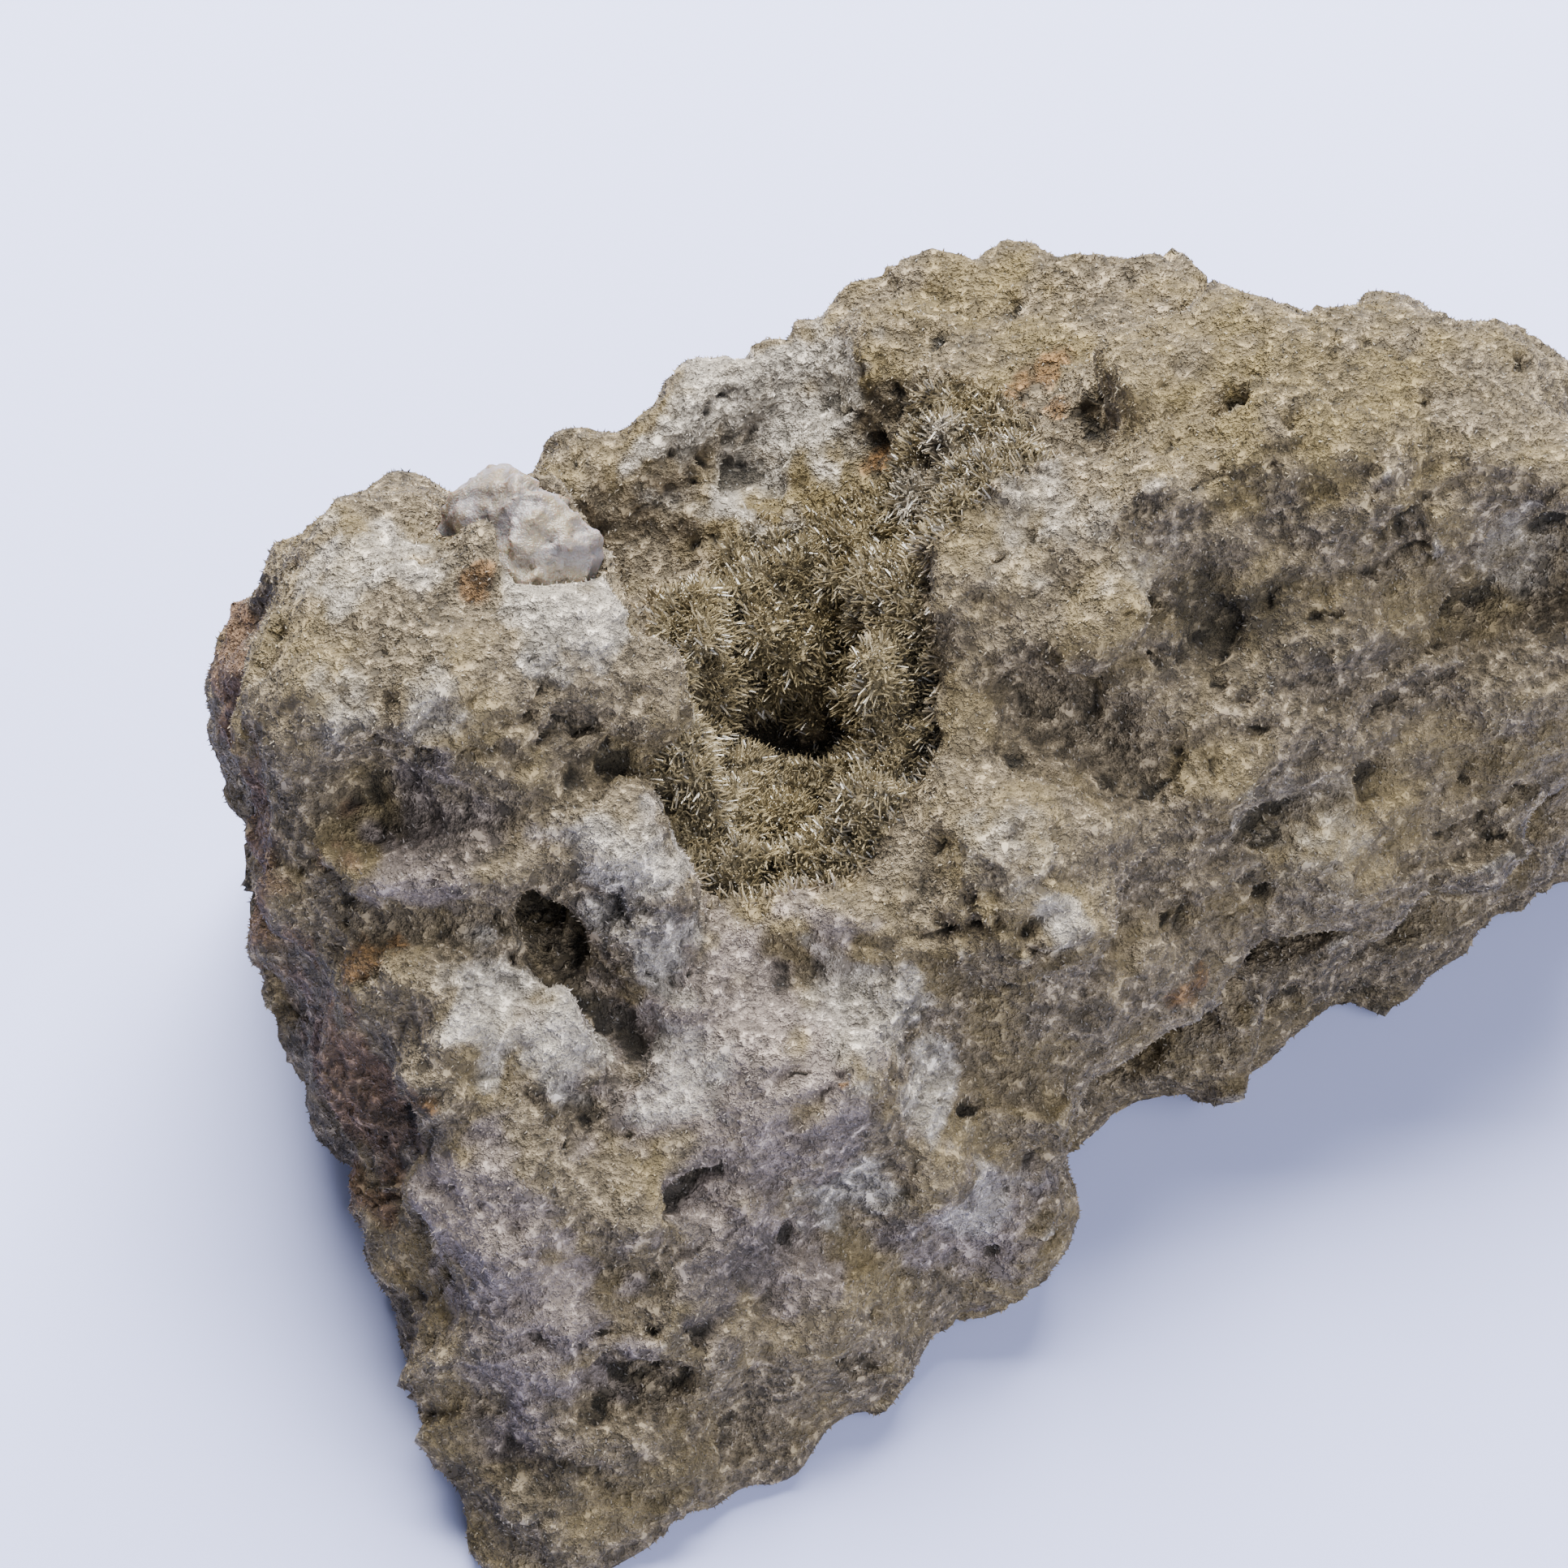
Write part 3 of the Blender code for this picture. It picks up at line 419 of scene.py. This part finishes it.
def points_of(item):
    """Places and normals of a mesh's points, in millimetres from the anchor."""
    count = len(item.data.vertices)
    places = np.empty(count * 3)
    normals = np.empty(count * 3)
    item.data.vertices.foreach_get("co", places)
    item.data.vertices.foreach_get("normal", normals)
    return places.reshape(-1, 3) / MM - ANCHOR, normals.reshape(-1, 3)


def move_points(item, places):
    """Put a mesh's points at these places, in millimetres from the anchor, and not under the floor."""
    places = places.copy()
    places[:, 2] = np.maximum(places[:, 2], 0)
    item.data.vertices.foreach_set("co", ((places + ANCHOR) * MM).ravel())
    item.data.update()


def shift_along_normals(item, distance):
    """Move each point along its normal by a distance in millimetres."""
    places, normals = points_of(item)
    item.data.vertices.foreach_set("co", ((places + normals * distance + ANCHOR) * MM).ravel())
    item.data.update()


def smooth(item, times):
    """Smooth a mesh."""
    modifier = item.modifiers.new("Smooth", "SMOOTH")
    modifier.factor = 0.5
    modifier.iterations = times
    finish_modifiers(item)


def remesh(item, voxel):
    """Rebuild a mesh on an even grid, as one closed skin."""
    modifier = item.modifiers.new("Remesh", "REMESH")
    modifier.mode = "VOXEL"
    modifier.voxel_size = voxel
    finish_modifiers(item)


def joined_copy(name, nodes):
    """A new object with merged copies of the nodes' meshes."""
    bm = bmesh.new()
    for node in nodes:
        bm.from_mesh(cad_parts[node].data)
    bmesh.ops.remove_doubles(bm, verts=bm.verts, dist=SLIVER)
    mesh = bpy.data.meshes.new(name)
    bm.to_mesh(mesh)
    bm.free()
    item = bpy.data.objects.new(name, mesh)
    bpy.context.scene.collection.objects.link(item)
    return item


def give_field(item, name, values):
    """Store one number for each point of a mesh."""
    field = item.data.attributes.get(name) or item.data.attributes.new(name, "FLOAT", "POINT")
    field.data.foreach_set("value", np.asarray(values, np.float32))


def field_of(item, name):
    """The numbers stored for each point of a mesh."""
    values = np.empty(len(item.data.vertices), np.float32)
    item.data.attributes[name].data.foreach_get("value", values)
    return values


def step(values, low, high):
    """A smooth rise from 0 at low to 1 at high."""
    share = np.clip((values - low) / (high - low), 0, 1)
    return share * share * (3 - 2 * share)


def waves(places, size, seed, octaves=2, stretch=None):
    """Fractal noise between about -1 and 1 at each place; stretch draws it out along a direction."""
    if stretch is not None:
        direction, factor = stretch
        way = np.array(direction) / np.linalg.norm(direction)
        places = places - np.outer(places @ way, way) * (1 - 1 / factor)
    return np.array([noise.fractal(Vector(p), 1.0, 2.0, octaves) for p in places / size + seed])


def drift(places, size, seeds, octaves=2):
    """A noise for each axis, to shift places by, so that a pattern on them is less even."""
    return np.stack([waves(places, size, seed, octaves) for seed in seeds], axis=1)


def ridged(values):
    """Waves turned into sharp crests with round hollows between them."""
    return 0.4 - 1.6 * np.abs(values)


def lumps(places, size, seed):
    """Rounded clods with creases between them, from about -1 in a crease to 1 on top."""
    return np.array([1 - 2 * noise.voronoi(Vector(p))[0][0] for p in places / size + seed])


def facets(places, size, seed):
    """Tilted flats with sharp steps between them, as a break leaves them, from about -1 to 1."""
    heights = np.empty(len(places))
    for i, place in enumerate(places / size + seed):
        place = Vector(place)
        middle = noise.voronoi(place)[1][0]
        slope = noise.cell_vector(middle * 97) * 2 - Vector((1, 1, 1))
        heights[i] = (place - middle).dot(slope) * 2
    return heights


def marked(places, wander, marks):
    """How strongly each place is marked: fully near a mark's middle, and not past its radius."""
    field = np.zeros(len(places))
    for centre, radius, strength in marks.values():
        away = np.linalg.norm(places + wander * radius * 0.5 - np.array(centre), axis=1) / radius
        field = np.maximum(field, strength * (1 - step(away, 0.35, 1.05)))
    return field


def near_crust(places):
    """How much each place belongs to the needle crust: 1 within 0.3 mm of it, and 0 past 1.4 mm."""
    crust = joined_copy("crust_guide", ["needle_crust"])
    bm = bmesh.new()
    bm.from_mesh(crust.data)
    tree = BVHTree.FromBMesh(bm)
    bm.free()
    bpy.data.objects.remove(crust)
    away = np.array([tree.find_nearest(Vector(p))[3] for p in (places + ANCHOR) * MM]) / MM
    return 1 - step(away, 0.3, 1.4)


def caves(places, wander):
    """How deep each place is pressed in by the caves, in millimetres."""
    hollows = np.zeros(len(places))
    for centre, half_sizes, turn, depth in CAVES.values():
        rotation = np.array(Euler([math.radians(angle) for angle in turn]).to_matrix())
        local = (places + wander * 0.6 - np.array(centre)) @ rotation / np.array(half_sizes)
        hollows += depth * (1 - step(np.linalg.norm(local, axis=1), 0.3, 1.5))
    return hollows


def skin_relief(places, normals, settings, needle):
    """Height of the broken skin over the smoothed solids, in millimetres.

    The settings hold the heights. A size is how far apart a noise's own lumps are, in millimetres, and
    each seed gives another noise. Ribs run down the left flank and along the front toe and the right face.
    """
    front = step(-normals[:, 1], 0.1, 0.6)
    left_flank = step(-normals[:, 0], 0.2, 0.7)
    front_toe = front * step(-places[:, 1], 17, 21) * step(-places[:, 0], -3, 2)
    right_face = step(places[:, 0], 12, 20) * front
    warp = drift(places, size=3.0, seeds=(11.0, 23.0, 37.0), octaves=3)
    sharpness = 0.6 + 0.5 * waves(places, size=6.0, seed=71.0)
    crests = ridged(waves(places + warp * 0.5, size=1.9, seed=29.0, octaves=3))
    pits = step(waves(places + warp, size=1.5, seed=13.0), 0.34, 0.65)
    clusters = step(waves(places, size=7.0, seed=83.0), -0.15, 0.25)
    toe_ribs = ridged(waves(places + warp * 0.6, size=1.7, seed=79.0, stretch=TOE_RIBS))
    right_ribs = ridged(waves(places + warp * 0.4, size=1.8, seed=61.0, stretch=RIGHT_RIBS))
    relief = settings.swell * waves(places, size=5.0, seed=3.0)
    relief += settings.flats * facets(places + warp * 0.6, size=4.2, seed=91.0) * (1 - 0.6 * needle)
    relief += settings.clods * lumps(places + warp * 1.2, size=2.6, seed=5.0) * sharpness
    relief += settings.crests * crests * sharpness
    relief += settings.crumbs * waves(places, size=0.9, seed=7.0)
    relief -= settings.pits * pits * clusters
    relief += settings.ribs * left_flank * waves(places, size=1.1, seed=17.0, stretch=LEFT_RIBS)
    relief += settings.ribs * front_toe * toe_ribs
    relief += settings.ribs * right_face * waves(places, size=1.2, seed=19.0, stretch=RIGHT_RIBS)
    relief += settings.ribs * right_face * right_ribs
    relief += settings.mounds * needle * lumps(places + warp * 1.2, size=2.4, seed=53.0)
    ragged = drift(places, size=1.2, seeds=(59.0, 67.0, 73.0))
    return (relief / MM - caves(places, warp + ragged * 1.4)) * step(places[:, 2], 0.1, 1.2)


def store_marks(item):
    """Store the marks, crests and cavities of the finished skin for its materials and its fibres."""
    places, normals = points_of(item)
    wander = drift(places, size=1.8, seeds=(41.0, 43.0, 47.0))
    blurred = item.copy()
    blurred.data = item.data.copy()
    bpy.context.scene.collection.objects.link(blurred)
    smooth(blurred, BLUR_ROUNDS)
    depth = ((points_of(blurred)[0] - places) * normals).sum(axis=1)
    bpy.data.objects.remove(blurred)
    # How far each point lies below the blurred skin, where the material lays painted shade
    give_field(item, "cavity_shade", step(depth, 0.02, 0.45))
    needle = near_crust(places)
    give_field(item, "needle", needle)
    give_field(item, "crest", step(-depth, 0.05, 0.5) * (1 - needle))
    for name, marks in MARKS.items():
        give_field(item, name, marked(places, wander, marks))
    hidden = step(-normals[:, 2], 0.35, 0.8)
    give_field(item, "open", (1 - 0.8 * hidden) * step(places[:, 2], 0.15, 0.6))


def needle_tree(name):
    """Geometry Nodes that plant closed three-sided needles on a surface, where its cover says so."""
    tree = bpy.data.node_groups.new(name, "GeometryNodeTree")
    tree.interface.new_socket("Geometry", in_out="OUTPUT", socket_type="NodeSocketGeometry")
    kinds = {
        "Surface": "Geometry", "Density": "Float", "Length": "Float", "Width": "Float",
        "Bluntness": "Float", "Lean": "Float", "Comb": "Float", "Tuft Size": "Float",
        "Seed": "Int", "Material": "Material",
    }
    for label, kind in kinds.items():
        tree.interface.new_socket(label, in_out="INPUT", socket_type="NodeSocket" + kind)
    given = add(tree, "NodeGroupInput").outputs
    cover = add(tree, "GeometryNodeInputNamedAttribute", {"Name": "cover"}, data_type="FLOAT").outputs[0]
    density = add(tree, "ShaderNodeMath", {0: cover, 1: given["Density"]}, operation="MULTIPLY").outputs[0]
    planted = add(
        tree, "GeometryNodeDistributePointsOnFaces",
        {"Mesh": given["Surface"], "Density": density, "Seed": given["Seed"]}).outputs
    chance = add(
        tree, "FunctionNodeRandomValue", {0: (-1, -1, -1), 1: (1, 1, 1), "Seed": given["Seed"]},
        data_type="FLOAT_VECTOR").outputs[0]
    tuft_scale = add(tree, "ShaderNodeMath", {0: 1.0, 1: given["Tuft Size"]}, operation="DIVIDE").outputs[0]
    tuft = add(tree, "ShaderNodeTexNoise", {"Scale": tuft_scale, "Detail": 1.0}).outputs["Color"]
    tuft = add(tree, "ShaderNodeVectorMath", {0: tuft, 1: (0.5, 0.5, 0.5)}, operation="SUBTRACT").outputs[0]
    way = planted["Normal"]
    for lean, share in ((chance, given["Lean"]), (tuft, given["Comb"])):
        scaled = add(tree, "ShaderNodeVectorMath", {0: lean, "Scale": share}, operation="SCALE").outputs[0]
        way = add(tree, "ShaderNodeVectorMath", {0: way, 1: scaled}, operation="ADD").outputs[0]
    turned = add(tree, "FunctionNodeAlignRotationToVector", {"Vector": way}, axis="Z").outputs[0]
    radius = add(tree, "ShaderNodeMath", {0: given["Width"], 1: 0.5}, operation="MULTIPLY").outputs[0]
    top = add(tree, "ShaderNodeMath", {0: radius, 1: given["Bluntness"]}, operation="MULTIPLY").outputs[0]
    spike = add(
        tree, "GeometryNodeMeshCone",
        {"Vertices": 3, "Radius Top": top, "Radius Bottom": radius, "Depth": given["Length"]},
        fill_type="NGON").outputs[0]
    # Height along the needle, from which its material paints shade at the root and light at the tip
    place = add(tree, "GeometryNodeInputPosition").outputs[0]
    height = add(tree, "ShaderNodeSeparateXYZ", {0: place}).outputs["Z"]
    height = add(tree, "ShaderNodeMath", {0: height, 1: given["Length"]}, operation="DIVIDE").outputs[0]
    spike = add(
        tree, "GeometryNodeStoreNamedAttribute", {"Geometry": spike, "Name": "tip", "Value": height},
        data_type="FLOAT", domain="POINT").outputs[0]
    scale = add(
        tree, "FunctionNodeRandomValue", {0: SMALLEST, 1: LARGEST, "Seed": 3},
        data_type="FLOAT_VECTOR").outputs[0]
    tone = add(tree, "FunctionNodeRandomValue", {2: 0.0, 3: 1.0, "Seed": 5}, data_type="FLOAT").outputs[1]
    placed = add(
        tree, "GeometryNodeInstanceOnPoints",
        {"Points": planted["Points"], "Instance": spike, "Rotation": turned, "Scale": scale}).outputs[0]
    toned = add(
        tree, "GeometryNodeStoreNamedAttribute", {"Geometry": placed, "Name": "tone", "Value": tone},
        data_type="FLOAT", domain="INSTANCE").outputs[0]
    real = add(tree, "GeometryNodeRealizeInstances", {"Geometry": toned}).outputs[0]
    painted = add(
        tree, "GeometryNodeSetMaterial", {"Geometry": real, "Material": given["Material"]}).outputs[0]
    add(tree, "NodeGroupOutput", {"Geometry": painted})
    return tree


def check_triangles(item):
    """Print how many triangles a piece has, and stop where they are too many."""
    triangles = sum(len(polygon.vertices) - 2 for polygon in item.data.polygons)
    if triangles > MOST_TRIANGLES:
        raise RuntimeError(f"{item.name} has {triangles} triangles, over {MOST_TRIANGLES}")
    print(item.name, triangles, "triangles")


def planted_needles(name, skin, cover, values, material):
    """A plain mesh of needles planted on the skin where the cover is above 0."""
    item = skin.copy()
    item.data = skin.data.copy()
    item.name = name
    bpy.context.scene.collection.objects.link(item)
    give_field(item, "cover", cover)
    tree = needle_tree(name + "_nodes")
    modifier = item.modifiers.new("Needles", "NODES")
    modifier.node_group = tree
    sockets = {
        socket.name: socket.identifier
        for socket in tree.interface.items_tree if socket.in_out == "INPUT"
    }
    for label, value in dict(values, Material=material).items():
        modifier[sockets[label]] = value
    finish_modifiers(item)
    check_triangles(item)
    move_points(item, points_of(item)[0])
    return item


def needle_values(settings, tuft, seed):
    """Inputs of the needle tree from a group of settings."""
    return {
        "Density": settings.density / MM ** 2,
        "Length": settings.length,
        "Width": settings.width,
        "Bluntness": settings.bluntness,
        "Lean": settings.lean,
        "Comb": settings.comb,
        "Tuft Size": tuft * MM,
        "Seed": seed,
    }


def pointed_at(item, place, target):
    """Put a camera or a light at a place and turn it towards a target, in millimetres from the anchor."""
    item.location = (ANCHOR + np.array(place)) * MM
    way = Vector(np.array(target) - np.array(place))
    item.rotation_euler = way.to_track_quat("-Z", "Y").to_euler()
    bpy.context.scene.collection.objects.link(item)


class SPECIMEN_OT_stage(bpy.types.Operator):
    """Make the paper, the soft light and the camera"""

    bl_idname = "specimen.stage"
    bl_label = "Stage"

    def execute(self, context):
        settings = context.scene.specimen_stage
        data = bpy.data.cameras.new("Camera")
        data.sensor_width = 36.0
        data.lens = data.sensor_width / 2 / (settings.half_width / settings.distance)
        data.clip_start = 0.01
        camera = bpy.data.objects.new("Camera", data)
        back = np.array((0.0, -math.cos(settings.elevation), math.sin(settings.elevation)))
        pointed_at(camera, TARGET + back * settings.distance / MM, TARGET)
        context.scene.camera = camera
        for name, place, size, power, tint in (
            ("Softbox", (4.0, 150.0, 245.0), 0.22, settings.softbox, "#fffdfa"),
            ("Reflector", (150.0, -200.0, 150.0), 0.3, settings.softbox * REFLECTOR_SHARE, "#f2f4ff"),
        ):
            lamp = bpy.data.lights.new(name, "AREA")
            lamp.size = size
            lamp.energy = power
            lamp.color = linear(tint)
            pointed_at(bpy.data.objects.new(name, lamp), place, LIT_SPOT)
        world = bpy.data.worlds.new("Studio")
        world.use_nodes = True
        background = world.node_tree.nodes["Background"]
        background.inputs["Color"].default_value = opaque(linear("#e3e7f4"))
        background.inputs["Strength"].default_value = settings.fill
        context.scene.world = world
        self.make_paper()
        return {"FINISHED"}

    def make_paper(self):
        """Matt white paper: a faint lavender tint and a fine tooth."""
        mesh = bpy.data.meshes.new("paper")
        corners = [(x * PAPER_HALF, y * PAPER_HALF, 0) for x, y in ((-1, -1), (1, -1), (1, 1), (-1, 1))]
        mesh.from_pydata(corners, [], [(0, 1, 2, 3)])
        paper = bpy.data.objects.new("paper", mesh)
        bpy.context.scene.collection.objects.link(paper)
        material = new_material("matt_paper")
        tree = material.node_tree
        coords = add(tree, "ShaderNodeTexCoord").outputs["Object"]
        tooth = add(
            tree, "ShaderNodeTexNoise",
            {"Vector": coords, "Scale": 1 / (0.6 * MM), "Detail": 3.0}).outputs[0]
        normal = add(
            tree, "ShaderNodeBump",
            {"Height": tooth, "Strength": 0.2, "Distance": 0.05 * MM}).outputs[0]
        shader = tree.nodes["Principled BSDF"]
        shader.inputs["Base Color"].default_value = opaque(bpy.context.scene.specimen_colours.paper)
        shader.inputs["Roughness"].default_value = 0.9
        tree.links.new(normal, shader.inputs["Normal"])
        mesh.materials.append(material)


class SPECIMEN_OT_rock_skin(bpy.types.Operator):
    """Make the broken, matted skin of the stone"""

    bl_idname = "specimen.rock_skin"
    bl_label = "Rock skin"

    def execute(self, context):
        settings = context.scene.specimen_skin
        skin = joined_copy("rock_skin", ["johannsenite_rock", "needle_crust"])
        remesh(skin, settings.grid)
        shift_along_normals(skin, settings.gap / MM)
        remesh(skin, settings.grid)
        shift_along_normals(skin, -settings.gap / MM)
        smooth(skin, settings.softening)
        places, normals = points_of(skin)
        relief = skin_relief(places, normals, settings, near_crust(places))
        move_points(skin, places + normals * relief[:, None])
        store_marks(skin)
        skin.data.materials.append(self.felted_stone())
        skin.data.shade_smooth()
        check_triangles(skin)
        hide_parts("johannsenite_rock")
        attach(skin, BODY)
        return {"FINISHED"}

    def felted_stone(self):
        """Broken johannsenite under its felt: matt and grainy, so its light is soft and without gloss."""
        material = new_material("broken_johannsenite")
        tree = material.node_tree
        colour, value = stone_colour(tree, bpy.context.scene.specimen_colours, False)
        normal = add(tree, "ShaderNodeBump", {"Height": value, "Distance": 0.45 * MM}).outputs[0]
        return set_shader(material, colour, normal, Roughness=0.88, Specular_IOR_Level=0.3)


class SPECIMEN_OT_felt(bpy.types.Operator):
    """Plant the felt of short fibres, in three pieces from left to right"""

    bl_idname = "specimen.felt"
    bl_label = "Felt of fibres"

    def execute(self, context):
        skin = bpy.data.objects["rock_skin"]
        settings = context.scene.specimen_felt
        material = self.fibre_stone()
        places, _ = points_of(skin)
        cover = field_of(skin, "open") * (1 - field_of(skin, "needle"))
        order = np.argsort(places[:, 0])
        share = np.cumsum(cover[order]) / cover.sum()
        names = ("felt_left", "felt_middle", "felt_right")    # each has a third of the whole cover
        for i, name in enumerate(names):
            mine = np.zeros(len(places))
            mine[order] = (share > i / len(names)) & (share <= (i + 1) / len(names))
            values = needle_values(settings, tuft=1.0, seed=20 + i)
            felt = planted_needles(name, skin, cover * mine, values, material)
            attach(felt, BODY)
        return {"FINISHED"}

    def fibre_stone(self):
        """Short johannsenite fibres: dull glassy hairs, so the felt has a weak, broken sheen."""
        material = new_material("johannsenite_fibres")
        colour, _ = stone_colour(material.node_tree, bpy.context.scene.specimen_colours, True)
        return set_shader(material, colour, Roughness=0.6, Specular_IOR_Level=0.45, IOR=1.72)


class SPECIMEN_OT_needles(bpy.types.Operator):
    """Plant the needle crystals that line the hollow"""

    bl_idname = "specimen.needles"
    bl_label = "Needles of the hollow"

    def execute(self, context):
        skin = bpy.data.objects["rock_skin"]
        settings = context.scene.specimen_needles
        cover = field_of(skin, "needle")
        values = needle_values(settings, tuft=1.1, seed=31)
        needles = planted_needles("hollow_needles", skin, cover, values, self.needle_stone())
        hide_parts("needle_crust")
        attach(needles, BODY)
        return {"FINISHED"}

    def needle_stone(self):
        """Johannsenite needles: glassy olive brown crystals that glint on their flat sides."""
        material = new_material("johannsenite_needle_crystals")
        colour, _ = stone_colour(material.node_tree, bpy.context.scene.specimen_colours, True)
        return set_shader(material, colour, Roughness=0.34, Specular_IOR_Level=0.5, IOR=1.72)


class SPECIMEN_OT_quartz(bpy.types.Operator):
    """Make the cloudy grain of quartz in the crest of the left block"""

    bl_idname = "specimen.quartz"
    bl_label = "Quartz grain"

    def execute(self, context):
        grain = joined_copy("quartz_grain", ["quartz_lump"])
        places, _ = points_of(grain)
        middle = places.mean(axis=0)
        move_points(grain, middle + (places - middle) * GRAIN_GROWTH)
        remesh(grain, GRAIN_GRID)
        smooth(grain, 1)
        places, normals = points_of(grain)
        chips = 0.3 * waves(places, size=1.8, seed=3.0)
        chips += 0.14 * facets(places, size=1.1, seed=9.0)
        chips += 0.08 * waves(places, size=0.5, seed=9.0)
        move_points(grain, places + normals * chips[:, None])
        grain.data.materials.append(self.cloudy_quartz())
        grain.data.shade_smooth()
        check_triangles(grain)
        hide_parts("quartz_lump")
        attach(grain, BODY)
        return {"FINISHED"}

    def cloudy_quartz(self):
        """Milky quartz: clear silica full of tiny bubbles, so light goes in and comes back white."""
        material = new_material("milky_quartz")
        tree = material.node_tree
        colours = bpy.context.scene.specimen_colours
        coords = add(tree, "ShaderNodeTexCoord").outputs["Object"]
        cloud = add(
            tree, "ShaderNodeTexNoise",
            {"Vector": coords, "Scale": 1 / (1.4 * MM), "Detail": 5.0, "Roughness": 0.65}).outputs[0]
        mask = add(
            tree, "ShaderNodeMapRange", {"Value": cloud, "From Min": 0.4, "From Max": 0.6}).outputs[0]
        normal = add(tree, "ShaderNodeBump", {"Height": cloud, "Distance": 0.4 * MM}).outputs[0]
        colour = add(
            tree, "ShaderNodeMix",
            {MIX_FACTOR: mask, MIX_BELOW: opaque(colours.quartz), MIX_ABOVE: opaque(colours.tan)},
            data_type="RGBA").outputs[MIX_COLOUR]
        return set_shader(
            material, colour, normal, Roughness=0.42, IOR=1.544, Transmission_Weight=0.25,
            Subsurface_Weight=0.3, Subsurface_Scale=0.6 * MM)


class SPECIMEN_PT_panel(bpy.types.Panel):
    """Lists the specimen's settings and its pieces"""

    bl_idname = "SPECIMEN_PT_panel"
    bl_label = "Johannsenite Specimen"
    bl_space_type = "VIEW_3D"
    bl_region_type = "UI"
    bl_category = "Specimen"

    def draw(self, context):
        for operator, group in PIECES:
            box = self.layout.box()
            box.operator(operator.bl_idname)
            settings = getattr(context.scene, group)
            for name in settings.__annotations__:
                box.prop(settings, name)


SETTINGS = {
    "specimen_stage": StageSettings,
    "specimen_skin": SkinSettings,
    "specimen_felt": FeltSettings,
    "specimen_needles": NeedleSettings,
    "specimen_colours": StoneColours,
}
PIECES = (
    (SPECIMEN_OT_stage, "specimen_stage"),
    (SPECIMEN_OT_rock_skin, "specimen_skin"),
    (SPECIMEN_OT_felt, "specimen_felt"),
    (SPECIMEN_OT_needles, "specimen_needles"),
    (SPECIMEN_OT_quartz, "specimen_colours"),
)
CLASSES = (*SETTINGS.values(), *(operator for operator, _ in PIECES), SPECIMEN_PT_panel)


def register():
    """Register the classes and hang the settings on the scene."""
    for item in CLASSES:
        bpy.utils.register_class(item)
    for name, group in SETTINGS.items():
        setattr(bpy.types.Scene, name, PointerProperty(type=group))


def unregister():
    """Take the settings and the classes away again."""
    for name in SETTINGS:
        delattr(bpy.types.Scene, name)
    for item in reversed(CLASSES):
        bpy.utils.unregister_class(item)


def main():
    """Make every piece."""
    register()
    noise.seed_set(1)
    bpy.ops.specimen.stage()
    bpy.ops.specimen.rock_skin()
    bpy.ops.specimen.felt()
    bpy.ops.specimen.needles()
    bpy.ops.specimen.quartz()


if __name__ == "__main__":
    main()
